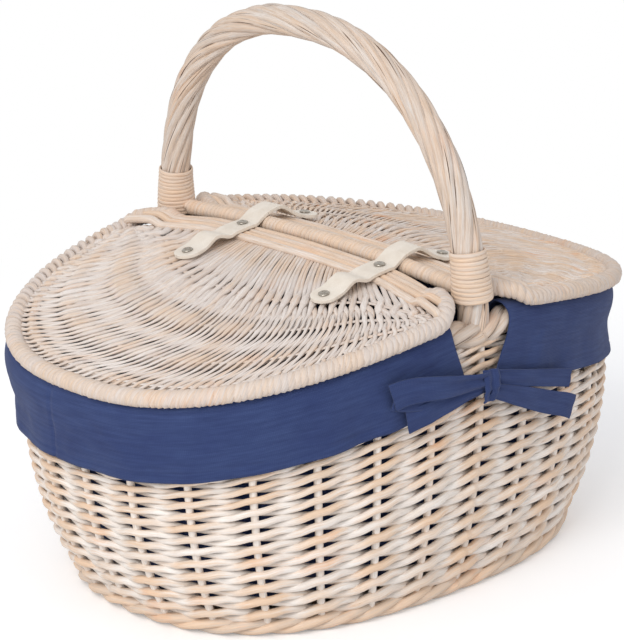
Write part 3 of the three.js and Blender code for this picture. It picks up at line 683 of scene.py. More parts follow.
def baseRods():
    rods = [baseRing(ring, strand) for ring in range(baseWeave["rings"]) for strand in (0, 1)]
    for stick in range(-baseWeave["sticks"], baseWeave["sticks"] + 1):
        x = stick * baseWeave["stickPitch"]
        reach = ovalWidthAt(baseWeave["half"], x) + baseWeave["stickPast"]
        rods.append(baseStick([(x, mix(-reach, reach, i / 12)) for i in range(13)]))
    for stick in (-1, 0, 1):
        reach = baseWeave["half"][0] + baseWeave["stickPast"] - 6 * abs(stick)
        places = [(mix(-reach, reach, i / 16), stick * baseWeave["longPitch"]) for i in range(17)]
        rods.append(baseStick(places, baseWeave["longLower"]))
    return rods


addRods("foot_rope", ropeRound(footWale, footCentre), "basket", footWillow, "willow", "foot_wale")
addRods("base_weavers", baseRods(), "basket", footWillow, "willow", "base_weave")
addRods("border_rope", ropeRound(rimBorder, borderCentre), "basket", handleWillow, "willow", "rim_border", sides=10)
print("foot, base and border")

# Handle

handle = {"rods": 9, "radius": 3.55, "lay": 7.15, "turns": 2.4, "steps": 150, "below": 20.0}  # below the rim
footBinding = {
    "turns": 12,
    "perTurn": 28,
    "length": 31.0,
    "start": 9.5,
    "bottom": 13.3,  # from the handle's middle line
    "top": 11.6,
    "flatEnd": 0.04,  # share of it at each end that doesn't climb
    "section": (0.8, 1.6),
}


def archPoint(share):
    power = 2 / basket["handlePower"]
    rise = max(0.0, sin(pi * share)) ** power
    across = basket["footInset"] * np.sign(cos(pi * share)) * abs(cos(pi * share)) ** power
    return basket["handleLean"] * rise, -across, mix(basket["rimHeight"], basket["handleTop"], rise)


archPlaces = np.array([archPoint(s) for s in np.linspace(0, 1, 2001)])
archRun = runAlong(archPlaces)


# A point beside the handle's middle line. Below the rim the line goes on straight down.
def besideHandle(run, angle, reach):
    inside = min(archRun[-1], max(0.0, run))
    ahead, behind = min(archRun[-1], inside + 2), max(0, inside - 2)
    along = placeAt(ahead, archRun, archPlaces) - placeAt(behind, archRun, archPlaces)
    if run < 0 or run > archRun[-1]:
        along = np.array([0, 0, 1.0 if run < 0 else -1.0])
    along = along / np.linalg.norm(along)
    centre = placeAt(inside, archRun, archPlaces) + along * (run - inside)
    side = np.array([1.0, 0, 0]) - along * along[0]
    side = side / np.linalg.norm(side)
    up = np.cross(side, along)
    return centre + side * reach * cos(angle) + up * reach * sin(angle)


def handlePoint(rod, share):
    run = mix(-handle["below"], archRun[-1] + handle["below"], share)
    turn = tau * (rod / handle["rods"] - handle["turns"] * run / archRun[-1])
    turn += 0.1 * sway(share * 9, rod * 4.4) + 0.12 * sway(rod * 9.1, 2)
    reach = handle["lay"] + 0.35 * sway(share * 7.5, rod * 2.7, 3)
    radius = handle["radius"] * (1 + 0.12 * sway(rod * 5.3, 1) + 0.06 * sway(share * 7.5, rod * 3.1, 6))
    return *besideHandle(run, turn, reach), radius, 0.5 + 0.9 * sway(share * 6, rod * 1.9, 8)


def bindingPoint(side, share):
    flatEnd = footBinding["flatEnd"]
    climb = clamp01((share - flatEnd) / (1 - 2 * flatEnd))
    run = footBinding["start"] + footBinding["length"] * climb + 0.25 * sway(share * 10.08, side)
    run = run if side < 0 else archRun[-1] - run
    reach = mix(footBinding["bottom"], footBinding["top"], smooth(share))
    width = 1 + 0.12 * sway(share * 4.368, side, 6)
    return *besideHandle(run, tau * footBinding["turns"] * share, reach), width, 0.55 + 0.6 * sway(share * 10.08, 4)


centreBar = {"radius": 3.3, "lay": 2.7, "turns": 73.5, "perTurn": 12, "stray": 1.295, "rise": 4.8, "half": 136.0}


def centreBarLevel(y):
    return lidLevel(0, y) + centreBar["rise"]


def centreBarPoint(share):
    y = mix(-centreBar["half"], centreBar["half"], share)
    turns, lay = centreBar["turns"] * share, centreBar["lay"]
    x, z = lay * cos(tau * turns), centreBarLevel(y) + lay * sin(tau * turns)
    width = centreBar["radius"] * (1 + 0.1 * sway(turns * 0.6, 5))
    return x, y + centreBar["stray"] * sway(turns * 0.7, 5, 4), z, width, 0.6 + 0.9 * sway(turns * 0.4, 5, 2)


handleRods = [rodOf(handle["steps"], partial(handlePoint, rod)) for rod in range(handle["rods"])]
addRods("handle_twist", handleRods, "basket", handleWillow, "willow", "handle_rods")
for side, label in ((-1, "near"), (1, "far")):
    binding = [rodOf(footBinding["turns"] * footBinding["perTurn"], partial(bindingPoint, side))]
    node, flat = f"handle_binding_{label}", footBinding["section"]
    addRods(f"handle_cane_{label}", binding, "basket", bareCane, "cane", node, flat=flat)
centreWinding = [rodOf(int(centreBar["turns"] * centreBar["perTurn"]), centreBarPoint)]
addRods("centre_bar_cane", centreWinding, "basket", bareCane, "cane", "centre_bar_wrap")
print("handle")

# Lids

lid = {
    "barOffset": 16.5,
    "barHalf": 124.75,
    "joint": 1.1,
    "cornerStart": 45.0,
    "cornerRound": 12.0,
    "cornerPull": 26.0,
    "lift": 4.6,  # the corner rides up over the border
    "liftRise": 6.0,  # within this distance of the oval
    "liftStart": 2.4,  # from here past the bar's end
    "liftLength": 12.0,
    "bands": (0.235, 0.455, 0.69, 0.9),  # where strands close up, as shares of the way from bar to hoop
    "ribHalf": (2.1, 0.7),
    "strands": 68,  # at the bar, in pairs
    "joinAt": 0.455,  # from this band on each has a fellow of its own
    "fellowUnder": 1.6,  # which starts this far underneath
    "ends": (0.07, 0.93),  # stretch of the hoop that the strands reach
    "slant": 0.12,  # how far they swing towards the far corner and back
    "beside": (0.1, 0.75),  # how soon strands come to lie beside each other past a rib
    "apart": (0.22, 0.25),  # half the way between a pair's middles beside the bar, and on
    "onRib": (0.49, 0.29),  # half width of a strand over a rib, of the pair's room: closed and open
    "byBar": 0.235,  # and where it leaves the bar
    "onBand": 0.27,
    "openTo": 0.36,  # share of the strands, from one corner, that lie open
    "bunch": 0.2,  # outermost, pairs lean together two by two there
    "thinnest": 0.5,
    "thickest": 3.3,
    "flatness": 0.62,
    "rise": 1.0,
    "wave": 1.1,  # up over a rib and down under it
    "fine": {"pitch": 4.2, "radius": 4.6, "lay": 1.75},  # the hoop's winding
    "coarse": {"pitch": 7.6, "radius": 2.4, "lay": 4.0},  # and where it lies open, at the far side
    "hoopPerTurn": 12,
    "hoopCore": (4.0, 1.7),  # inside the two windings
    "bandRods": (11.0, 15.9, 20.8, 25.6),  # flat bar of rods, from the middle of the basket
    "bandEnds": (5.0, 17.0, 31.0, 46.0),  # where each meets the hoop
    "bandRadius": 2.75,
    "bandRise": 3.2,
}
# Woven field beside the bar: its straight edge, and the corners that it leaves to the bar's rods
field = {"edge": 20.0, "corner": 15.0, "edgeHalf": 119.0, "cornerHalf": 43.0, "cornerAt": (0.6, 0.26), "inset": 4.0}


def hoopPlan():
    half = basket["hoopHalf"]
    width = ovalWidthAt(half, lid["cornerStart"])
    a = np.array([lid["barOffset"], -lid["barHalf"] - lid["joint"]])
    b = a + (0, -lid["cornerRound"])
    c = np.array([lid["cornerPull"], -width])
    d = np.array([lid["cornerStart"], -width])
    shares = np.linspace(0, 1, 24)[:-1]
    corner = [a * (1 - t) ** 3 + b * 3 * t * (1 - t) ** 2 + c * 3 * t * t * (1 - t) + d * t**3 for t in shares]
    start = atan2(-width, lid["cornerStart"])
    rounded = [np.array(ovalPoint(half, mix(start, -start, i / 240))) for i in range(241)]
    return np.array(corner + rounded + [p * (1, -1) for p in reversed(corner)])


hoopPlaces = hoopPlan()
hoopRun = runAlong(hoopPlaces)
hoopLength = hoopRun[-1]


def hoopAt(run, inset=0.0):
    ahead, behind = min(hoopLength, run + 1), max(0, run - 1)
    along = placeAt(ahead, hoopRun, hoopPlaces) - placeAt(behind, hoopRun, hoopPlaces)
    along = along / np.linalg.norm(along)
    return placeAt(run, hoopRun, hoopPlaces) + inset * np.array([-along[1], along[0]])


def hoopLift(x, y):
    fromOval = (ovalWidthAt(basket["hoopHalf"], x) - abs(y)) / lid["liftRise"]
    past = abs(y) - lid["barHalf"]
    return lid["lift"] * sin(pi / 2 * clamp01(fromOval)) * ramp(past, lid["liftStart"], lid["liftLength"])


# On a lid's woven field: u from the bar to the hoop, v from one end of the hoop to the other.
def fieldPoint(u, v):
    x, y = hoopAt(v * hoopLength, field["inset"])
    out = abs(2 * v - 1)
    corner = ramp(out, *field["cornerAt"])
    startY = np.sign(2 * v - 1) * (field["edgeHalf"] * out + field["cornerHalf"] * corner)
    return mix(field["edge"] + field["corner"] * corner, x, u), mix(startY, y, u)


# Strands cross the ribs in a shell: they swing towards one corner and back, and lie wider apart there.
def strandPlace(w, u):
    low, high = lid["ends"]
    v = mix(low, high, w + 0.5 * w * (1 - w) ** 2)
    swing = smooth(v / 0.65) if v < 0.65 else smooth((1 - v) / 0.35)
    v -= lid["slant"] * swing * sin(pi * u) + 0.24 * u * v * (1 - v)
    return np.array(fieldPoint(u, min(high, max(low, v))))


# A beat is the way from one band to the next. The two strands of a pair lie over each other at a rib
# and beside each other on the bands between ribs. From joinAt on every strand has a fellow, and they
# make pairs of their own.
def strandPoint(side, strand, fellow, beat, u):
    count = lid["strands"]
    hand = 1 if strand % 2 else -1
    byBar = beat <= 1  # there the pair stays side by side
    row = int(min(beat, len(lid["bands"]) + 0.99))
    split = ramp(u, lid["joinAt"] - 0.04, 0.08)
    room = mix(2, 1, split)
    across = 1.0 if byBar else -cos(pi * beat)
    aside = np.sign(across) * ramp(abs(across), *lid["beside"])
    onBand = 1 - sin(pi * beat) ** 2 if byBar else abs(aside)
    apart = mix(*lid["apart"], onBand if byBar else 1)
    over = 0.0 if byBar else hand * sin(pi * beat)
    inner = 2 * (strand // 2) + 1 + 2 * (hand * aside * apart + 0.1 * max(0, -over))
    first = -hand * (1 - 2 * fellow)
    turned, turnedOver = first * cos(pi * beat), first * sin(pi * beat)
    outerAside = np.sign(turned) * ramp(abs(turned), *lid["beside"])
    outer = strand - hand + 0.5 + outerAside * lid["apart"][1] + 0.1 * max(0, -turnedOver)
    openEnd = hill(strand / count, lid["openTo"])
    outer += lid["bunch"] * hand * openEnd * (1 - abs(outerAside)) * ramp(beat, 3.5, 0.8)
    stray = 0.07 * room * sway(u * 5, strand * 2.9 + fellow, side * 2)
    w = (mix(inner, outer, split) + stray) / count
    x, y = strandPlace(w, u)

    # room between the neighbours, square to the strand
    step = strandPlace(w + room / 2 / count, u) - strandPlace(w - room / 2 / count, u)
    ahead = strandPlace(w, min(1, u + 0.01)) - strandPlace(w, max(0, u - 0.01))
    ahead = ahead / np.linalg.norm(ahead)
    pitch = abs(step[0] * ahead[1] - step[1] * ahead[0])
    mood = sway(strand * 0.31 + 7 * row, row * 3.3, side) + 1.2 * sway(strand * 2.37, row * 5.3 + fellow, side)
    opened = ramp(mood + 0.6 * openEnd + 0.1 * split, 0.06, 0.35)
    onRib = lid["byBar"] * (1 + 0.15 * mood) if byBar else mix(*lid["onRib"], opened)
    half = mix(onRib, lid["onBand"] * (1 + 0.1 * mood), onBand)
    radius = max(lid["thinnest"], min(lid["thickest"], pitch * half))

    z = lidLevel(x, y) + lid["rise"] + lid["wave"] * mix(over, turnedOver, split)
    z += 0.4 * sway(u * 6, strand * 1.7 + fellow, 7) - lid["fellowUnder"] * (1 - split) * fellow
    limed = 0.8 * hill(w, 0.2) if side < 0 else 0.0  # the left lid's near corner is whiter
    bare = 0.75 * (1 - onBand) + 0.9 * sway(x * 0.018, y * 0.018, side) + 0.6 * sway(strand * 1.9, fellow * 2.3)
    return side * x, -side * y, z, radius, bare - limed


def lidFieldRods(side):
    stops = [0.0, *lid["bands"], 1.0]
    last = len(stops) - 1
    levels = [(b + k / 10, mix(stops[b], stops[b + 1], k / 10)) for b in range(last) for k in range(10)]
    levels.append((float(last), 1.0))
    fellowLevels = [(beat, u) for beat, u in levels if u >= lid["joinAt"] - 0.06]
    return [
        ([strandPoint(side, strand, fellow, *level) for level in (fellowLevels if fellow else levels)], False)
        for strand in range(lid["strands"])
        for fellow in (0, 1)
    ]


def lidRibRods(side):
    def point(rib, share):
        x, y = fieldPoint(rib, mix(*lid["ends"], share))
        return side * x, -side * y, lidLevel(x, y) + lid["rise"], 1.0, 0.1

    bands = [*lid["bands"], 1.0]
    return [rodOf(120, partial(point, (a + b) / 2)) for a, b in zip(bands, bands[1:])]


# The flat bar: rods side by side, which part towards the corners and run into the hoop.
def lidBandRods(side):
    rods = []
    for rod, (x0, end) in enumerate(zip(lid["bandRods"], lid["bandEnds"])):
        endX, endY = hoopAt(end, 1.5)
        parting = [(0.0, 0), (0.0, -35), (0.0, -66), (0.06, -90)]
        parting += [(0.25, mix(-103, endY, 0.2)), (0.6, mix(-103, endY, 0.62)), (1.0, endY)]
        half = [(mix(x0, endX, share), y) for share, y in parting]
        line = curveThrough([(x, -y) for x, y in reversed(half)] + half[1:], 110)
        points = []
        for i, (x, y) in enumerate(line):
            out = ramp(abs(y), 88, 30)
            z = lidLevel(x, y) + lid["bandRise"] + hoopLift(x, y) * out - 1.2 * out
            stray = 0.35 * sway(i * 0.06, rod * 3.3, side)
            radius = lid["bandRadius"] * (1 + 0.08 * sway(i * 0.05, rod * 5.1, side) + 0.1 * out)
            points.append((side * (x + stray), y, z, radius, 0.75 + 0.7 * sway(i * 0.05, rod * 2.2, side)))
        rods.append((points, False))
    return rods


def hoopOpened(share):
    return ramp(share, 0.6, 0.12) * ramp(share, 0.97, -0.1)


# One long strand winds round the hoop, over a core: close and flat, but open along the far side.
def lidHoopRods(side):
    points = []
    run, turns = 0.0, 0.0
    while run < hoopLength:
        opened = hoopOpened(run / hoopLength)
        pitch, radius, lay = (mix(lid["fine"][key], lid["coarse"][key], opened) for key in ("pitch", "radius", "lay"))
        turn = tau * turns
        shift = 1.1 * sway(turns * 0.8, side * 2, 3)
        x, y = hoopAt(min(hoopLength, max(0, run + shift)), lay * cos(turn))
        plan = hoopAt(run)
        z = lidLevel(*plan) + hoopLift(*plan) + lay * sin(turn)
        slim = 0.09 * (hill(run, 30) + hill(hoopLength - run, 30))  # room for the handle's binding
        width = radius * (1 + 0.09 * sway(turns * 0.9, side * 3) + 0.06 * opened * sway(turns * 3.1, side) - slim)
        limed = 0.9 * hill(run, 100) + 0.5 * opened if side < 0 else 0.0
        rubbed = 0.5 + 0.9 * sway(turns * 0.3, side) + 0.4 * sway(turns * 0.06, 2) - limed
        points.append((side * x, y, z, width, rubbed))
        run += pitch / lid["hoopPerTurn"] * (1 + 0.25 * sway(turns * 0.45, side * 5))
        turns += 1 / lid["hoopPerTurn"]

    def corePoint(share):
        x, y = hoopAt(hoopLength * share)
        return side * x, y, lidLevel(x, y) + hoopLift(x, y), mix(*lid["hoopCore"], hoopOpened(share)), 0.0

    return [(points, False), rodOf(160, corePoint)]


lidNodes = {-1: "lid_left", 1: "lid_right"}
for side, body in lidNodes.items():
    finish, strandFlat = lidWillow if side < 0 else lidWillowRight, (1.0, lid["flatness"])
    addRods(f"{body}_strands", lidFieldRods(side), body, finish, "white_willow", f"{body}_weave", flat=strandFlat)
    addRods(f"{body}_ribs", lidRibRods(side), body, finish, "white_willow", flat=lid["ribHalf"])
    addRods(f"{body}_binding", lidHoopRods(side), body, hoopWillow, "willow", f"{body}_hoop")
    addRods(f"{body}_bar_rods", lidBandRods(side), body, bareCane, "cane", f"{body}_bar", sides=10)
print("lids")

# Straps and rivets

strap = {
    "width": 20.0,
    "waist": 18.6,
    "waistEnd": 22.0,  # before its rounded end it gets wider over this length
    "thickness": 2.4,
    "bevel": 0.7,
    "left": 76.0,  # from the middle of the basket to its end on the left lid
    "right": 51.0,
    "near": -79.0,
    "far": 60.0,
    "rivetInset": 8.8,
    "rivetBeside": 16.5,
    "onBar": 6.35,  # underside above a lid's middle on the bar
    "onWeave": 4.85,
    "barEdge": (29.0, 7.0),
    "overBar": 6.7,  # above the wrapped bar's middle
    "overFrom": -12.0,  # it leaves the left lid here
    "overTo": 31.0,  # and comes down on the right one here
    "crest": 12.0,  # highest past the wrapped bar
    "crestRise": 2.0,
    "bulge": (47.0, 8.5, 4.6),  # it stands off the left lid there, this long and this high
}


def strapUnderside(x, y):
    return lidLevel(max(x, lid["barOffset"]), y) + mix(strap["onBar"], strap["onWeave"], ramp(x, *strap["barEdge"]))


# Underside: off the left lid beside its bar, over the wrapped bar, past it, and down to the right lid.
def strapLine(x, y):
    start, end = strap["overFrom"], strap["overTo"]
    if x <= start:
        at, length, high = strap["bulge"]
        return strapUnderside(-x, y) + high * hill(x + at, length)
    if x >= end:
        return strapUnderside(x, y)
    barTop = centreBarLevel(y) + strap["overBar"]
    if x < 0:
        share = 1 - x / start
        return mix(strapUnderside(-start, y), barTop, 0.4 * smooth(share) + 0.6 * share)
    crest = barTop + strap["crestRise"]
    if x < strap["crest"]:
        return mix(barTop, crest, sin(pi / 2 * x / strap["crest"]))
    share = (x - strap["crest"]) / (end - strap["crest"])
    return mix(crest, strapUnderside(end, y), 0.6 * smooth(share) + 0.4 * share)


def strapTilt(y):
    return atan((lidLevel(lid["barOffset"], y + 5) - lidLevel(lid["barOffset"], y - 5)) / 10)


def strapMesh(name, yMiddle):
    half = strap["width"] / 2
    tilt = strapTilt(yMiddle)

    def place(u, v):
        x = mix(-strap["left"], strap["right"], u)
        fromEnd = (strap["left"] if x < 0 else strap["right"]) - half - abs(x)
        end = max(0.0, -fromEnd)
        wide = half if end else mix(strap["waist"] / 2, half, ramp(fromEnd, strap["waistEnd"], -strap["waistEnd"]))
        y = sqrt(max(0.0, wide**2 - end**2)) * (2 * v - 1)
        z = strapLine(x, yMiddle) + strap["thickness"] / 2
        return x, yMiddle + y * cos(tilt), z + y * sin(tilt), x, y

    return sheetMesh(name, 140, 10, place, strap["thickness"], closed=True, bevel=strap["bevel"])


# One side of a strap, the part over the lid on that side.
def strapHalf(whole, name, side):
    half = bmesh.new()
    half.from_mesh(whole)
    geometry = half.verts[:] + half.edges[:] + half.faces[:]
    plane = {"plane_co": (0, 0, 0), "plane_no": (-side, 0, 0)}
    cut = bmesh.ops.bisect_plane(half, geom=geometry, clear_outer=True, **plane)
    rim = [e for e in cut["geom_cut"] if isinstance(e, bmesh.types.BMEdge)]
    bmesh.ops.holes_fill(half, edges=rim, sides=0)
    return meshFrom(half, name)


rivet = {
    "head": 4.0,
    "dome": 1.6,
    "edge": 0.6,  # height of the head's edge
    "shank": 1.5,
    "washer": 3.5,
    "washerThick": 1.0,
    "segments": 24,
    "endGrip": 10.0,  # leather and weave together
    "besideGrip": 14.2,  # leather and bar
}


# Half a section is spun round: washer, shank, and a domed head with a dimple.
def rivetMesh(name, grip, x, yMiddle, side):
    head, dome, edge, shank, washer = (rivet[key] for key in ("head", "dome", "edge", "shank", "washer"))
    bottom = -grip - rivet["washerThick"]
    profile = [(0.0, bottom), (washer - 0.4, bottom), (washer, bottom + 0.3), (washer, -grip), (shank, -grip)]
    profile += [(shank, edge - 0.25), (head - 0.3, edge - 0.25), (head, edge)]
    profile += [(head * cos(t), edge + (dome - 0.25) * sin(t)) for t in np.linspace(0.25, 1.0, 5)]
    profile += [(r, edge + dome * share) for r, share in ((1.5, 0.62), (1.1, 0.45), (0.0, 0.42))]
    pin = bmesh.new()
    verts = [pin.verts.new((r * mm, 0, z * mm)) for r, z in profile]
    edges = [pin.edges.new(pair) for pair in zip(verts, verts[1:])]
    turn = {"cent": (0, 0, 0), "axis": (0, 0, 1), "angle": tau, "steps": rivet["segments"]}
    bmesh.ops.spin(pin, geom=verts + edges, use_merge=True, **turn)
    bmesh.ops.remove_doubles(pin, verts=pin.verts, dist=0.00001)
    bmesh.ops.recalc_face_normals(pin, faces=pin.faces)
    lean = (strapUnderside(x + 3, yMiddle) - strapUnderside(x - 3, yMiddle)) / 6
    tilt = Matrix.Rotation(strapTilt(yMiddle), 4, "X") @ Matrix.Rotation(-side * atan(lean), 4, "Y")
    top = strapUnderside(x, yMiddle) + strap["thickness"]
    place = Matrix.Translation((side * x * mm, yMiddle * mm, top * mm))
    bmesh.ops.transform(pin, matrix=place @ tilt, verts=pin.verts)
    return meshFrom(pin, name)


for label in ("near", "far"):
    yMiddle = strap[label]
    whole = strapMesh(f"strap_{label}", yMiddle)
    for side, body in lidNodes.items():
        hand = body.split("_")[1]
        name = f"strap_{label}_{hand}"
        nodes = [f"{name}_tab"] + ([f"strap_{label}_crown"] if side < 0 else [])
        piece = addPiece(name, strapHalf(whole, name, side), None, strapLeather, "leather", *nodes)
        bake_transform(piece)
        places = [(strap[hand] - strap["rivetInset"], rivet["endGrip"], hand)]
        if side < 0:
            places.append((strap["rivetBeside"], rivet["besideGrip"], "middle"))
        for x, grip, where in places:
            name = f"rivet_dome_{label}_{where}"
            mesh = rivetMesh(name, grip, x, yMiddle, side)
            addPiece(name, mesh, body, rivetSteel, "rivet_steel", f"rivet_{label}_{where}")
print("straps and rivets")

# Liner: two cuffs over the border, the bag inside and a bow at each foot of the handle

liner = {
    "thickness": 1.1,
    # inset from the wall's outside and height over the rim, from the inner edge over the border to the hem
    "section": [
        (20.6, -20.5), (20.6, -10.0), (19.5, -1.0), (14.5, 3.4), (9.3, 4.0), (4.2, 3.4),
        (-0.8, -1.0), (-2.4, -8.0), (-3.2, -18.0), (-3.3, -34.0), (-3.3, -51.0),
    ],
    "length": 560.0,  # round each half, for the folds
    "foldDepth": 1.5,
    "smoothEnd": 30.0,
    "endTop": {-1: (31.0, 26.0), 1: (22.0, 30.0)},  # a cuff's ends beside the near and far foot, at the top
    "endBottom": {-1: (20.0, 15.0), 1: (6.8, 13.0)},
    "bulge": {"at": 2.7, "width": 0.42, "out": 6.5},  # the left cuff stands off at the far side of its end
    "tight": {"at": -0.57, "width": 0.5},  # and the right one lies smooth at the near side
    "seam": {-1: 3.05, 1: 3.05 - pi},
    "seamReach": 216.0,  # from the middle of the basket
    "seamDepth": 0.8,
    "seamHalf": 1.5,
    "hem": 44.5,  # stitched this far below the rim
    "hemDepth": 0.5,
}
cuffPath = curveThrough(liner["section"], 42)
cuffRun = runAlong(cuffPath)


# Angles from the middle of a cuff to its ends beside the near and far foot of the handle.
def cuffEnds(side, below):
    down = ramp(-below, 2, 46)
    ends = [mix(top, bottom, down) for top, bottom in zip(liner["endTop"][side], liner["endBottom"][side])]
    return [atan2(ovalWidthAt(basket["wallHalf"], x), x) for x in ends]


def cuffMesh(name, side):
    def place(u, v):
        at = v * cuffRun[-1]
        inset, below = placeAt(at, cuffRun, cuffPath)
        near, far = cuffEnds(side, below)
        # the right cuff starts beside the near foot, the left one beside the far foot
        angle = mix(-near, far, u) if side > 0 else pi + mix(-far, near, u)
        hang = clamp01((-below - 4) / 47) if inset < 5 else 0.0
        outside = clamp01((6 - inset) / 4)
        along = u * liner["length"]
        fold = 1 + 1.6 * sway(along * 0.035, side * 5, 1) + 0.35 * sin(along * 0.12 + 4 * sway(along * 0.01, side))
        crease = 0.7 * sway(along * 0.05, at * 0.06, side * 3) + 0.35 * sway(along * 0.13, at * 0.16, side * 7)
        outward = max(0.0, liner["foldDepth"] * hang * fold) + crease * clamp01(hang * 3)
        outward *= ramp(min(u, 1 - u) * liner["length"], 0, liner["smoothEnd"])
        seamAway = (angle - liner["seam"][side]) * liner["seamReach"]
        outward -= liner["seamDepth"] * hill(seamAway, liner["seamHalf"]) * outside
        spot = liner["bulge"] if side < 0 else liner["tight"]
        there = hill(angle - spot["at"], spot["width"]) * clamp01((9.3 - inset) / 10)
        if side < 0:
            outward += spot["out"] * there * ramp(below, -36, 28)
        else:
            outward *= 1 - 0.85 * there
        hem = liner["hemDepth"] * hill(below + liner["hem"], 1.2) * hang
        wave = 1.4 * sway(along * 0.018, 9, side) * hang
        return *rimPoint(angle, below + wave, inset - outward + hem), along, at

    return sheetMesh(name, 380, 56, place, liner["thickness"])


# A piece of navy cotton. Its flat size, one side in metres and its own area divided by that, is not used.
def addCloth(name, mesh, node, side, held, *restsOn):
    piece = addPiece(name, mesh, "basket", navyCotton, "navy_cotton", node)


cuffs = {"cuff_left": -1, "cuff_right": 1}
for name, side in cuffs.items():
    addCloth(name, cuffMesh(name, side), f"liner_{name}", cuffRun[-1] * mm, "draped", "border_rope")

bag = {
    "thickness": 1.1,
    "inset": 12.5,  # from the wall's outside
    "topInset": 19.6,  # and beside the border
    "overLeg": 13.0,  # how far it bulges over a leg of the handle
    "legSpread": 0.155,
    "drawn": (0.55, 0.3),  # share of the height where it starts to draw in, and over how much
    "bottom": 14.5,
    "top": -20.4,  # from the rim
    "corner": 9.0,  # rounded into the floor
    "loose": 1.2,
    "aboveBase": 6.6,
    "floorSpan": 0.42,  # share of the sheet that lies on the base
    "round": 1180.0,  # cloth round the bag, and from the middle of its floor to the corner and the top
    "floorReach": 120.0,
    "tall": 150.0,
}


def bagInset(angle, height):
    low = bag["inset"] + bag["overLeg"] * hill(cos(angle), bag["legSpread"])
    return mix(low, max(low, bag["topInset"]), ramp(height / rimAt(angle), *bag["drawn"]))


def bagPlace(u, v):
    angle = tau * u
    along = u * bag["round"]
    span, bottom = bag["floorSpan"], bag["bottom"]
    if v > span:
        share = (v - span) / (1 - span)
        height = mix(bottom, rimAt(angle) + bag["top"], share)
        slack = 2.2 * sway(along * 0.02, share * 3) + 1.6 * sway(along * 0.05, share * 1.4, 4)
        loose = max(0, bag["loose"] + slack * sin(pi * share))
        place = wallPoint(angle, height, bagInset(angle, height) + bag["corner"] * (1 - share) ** 6 + loose)
        return *place, along, bag["floorReach"] + bag["tall"] * share
    share = v / span
    x, y, _ = wallPoint(angle, bottom, bagInset(angle, bottom) + bag["corner"] + bag["loose"])
    x, y = x * share, y * share
    ripple = 0.8 * sway(x * 0.02, y * 0.02, 3) * (1 - share**4)
    z = baseLevel(x, y) + bag["aboveBase"] + ripple + 1.5 * share**8
    return x, y, z, along * share, bag["floorReach"] * share


bagMesh = sheetMesh("bag", 160, 60, bagPlace, bag["thickness"], closed=True)
addCloth("liner_bag_cloth", bagMesh, "liner_bag", 0.5, "hung", *cuffs, "base_weavers")

bow = {"height": 160.5, "width": 17.0, "face": (223.7, 168.2), "thickness": 0.9, "nearest": 0.4}

# Ribbons on the cuff: where the pleats start, the steps along it, and then x, height from the knot,
# width, distance off the cuff and how much it is gathered.
bowRibbons = {
    "loop": (0.0, 46, [
        (-7.5, 4.6, 9.5, 3.2, 1.0), (-15.5, 5.4, 10.5, 4.4, 0.9), (-30, 6.8, 13.3, 5.4, 0.7),
        (-51, 9.7, 15.8, 6.4, 0.3), (-70, 12.2, 16.8, 5.8, 0.2), (-80, 12, 18, 4.8, 0.2), (-87.3, 9.6, 20, 3.3, 0.1),
    ]),
    "loop_under": (0.7, 46, [
        (-84.6, 9.4, 17.5, 2.4, 0.1), (-77, 6.2, 16.5, 1.5, 0.2), (-56, 2.2, 14.5, 1.0, 0.3),
        (-30, 0.5, 11.5, 1.2, 0.6), (-7.5, 0, 9, 2.0, 0.8),
    ]),
    "tail_left": (1.3, 46, [
        (-7.5, -0.6, 8, 1.6, 0.8), (-25, -3, 9, 1.2, 0.5), (-42, -4.7, 12.5, 1.4, 0.3),
        (-59, -7, 15.5, 1.6, 0.2), (-75, -9.5, 16.5, 1.8, 0.1),
    ]),
    "tail_right": (2.1, 46, [
        (-5.5, 4.5, 11, 3.0, 0.9), (12, 0.5, 11.5, 2.8, 0.6), (36, -6, 12, 2.6, 0.3),
        (57, -11, 12.3, 2.4, 0.2), (77, -17, 12.6, 2.6, 0.2),
    ]),
    "tail_front": (3.7, 46, [
        (-5.5, -3.5, 9.5, 3.8, 0.9), (12, -10.5, 12, 3.4, 0.5), (40, -22, 14.5, 3.0, 0.3),
        (60, -30.6, 16, 3.0, 0.2), (70.5, -33.4, 16.4, 3.2, 0.2), (78.8, -38.2, 16.8, 3.4, 0.2),
    ]),
    "knot": (5.0, 20, [
        (-4.5, 10.5, 13, 2.6, 0.6), (-5.0, 5.5, 14.5, 4.8, 0.9), (-5.5, 0, 13.5, 5.6, 1.1),
        (-5.0, -5.5, 14.5, 4.8, 0.9), (-5.0, -11.5, 12.5, 2.4, 0.5),
    ]),
}


def ribbonMesh(name, turned, count, stops):
    line = curveThrough([(x, bow["height"] + above) for x, above, *_ in stops], count)
    share = np.linspace(0, 1, count)
    stopShares = np.linspace(0, 1, len(stops))
    columns = [np.interp(share, stopShares, [s[k] for s in stops]) for k in (2, 3, 4)] + [runAlong(line)]

    def place(u, v):
        at = u * (count - 1)
        i = int(min(count - 2, at))
        x, z = mix(line[i], line[i + 1], at - i)
        dx, dz = line[i + 1] - line[i]
        size = hypot(dx, dz)
        width, clear, gather, along = (float(np.interp(u, share, column)) for column in columns)
        across = (v - 0.5) * width
        x, z = x - dz / size * across, z + dx / size * across
        pleat = gather * (sin(3.2 * pi * v + 2.2 * u + turned) + 0.7 * sway(u * 5, v * 2, turned))
        off = clear + 1.1 * pleat + 0.5 * sway(u * 6, v, turned * 3)
        y = -(ovalWidthAt(bow["face"], x) + max(bow["nearest"], off))
        return x, y, z, along, v * bow["width"]

    return sheetMesh(name, count * 2, 12, place, bow["thickness"])


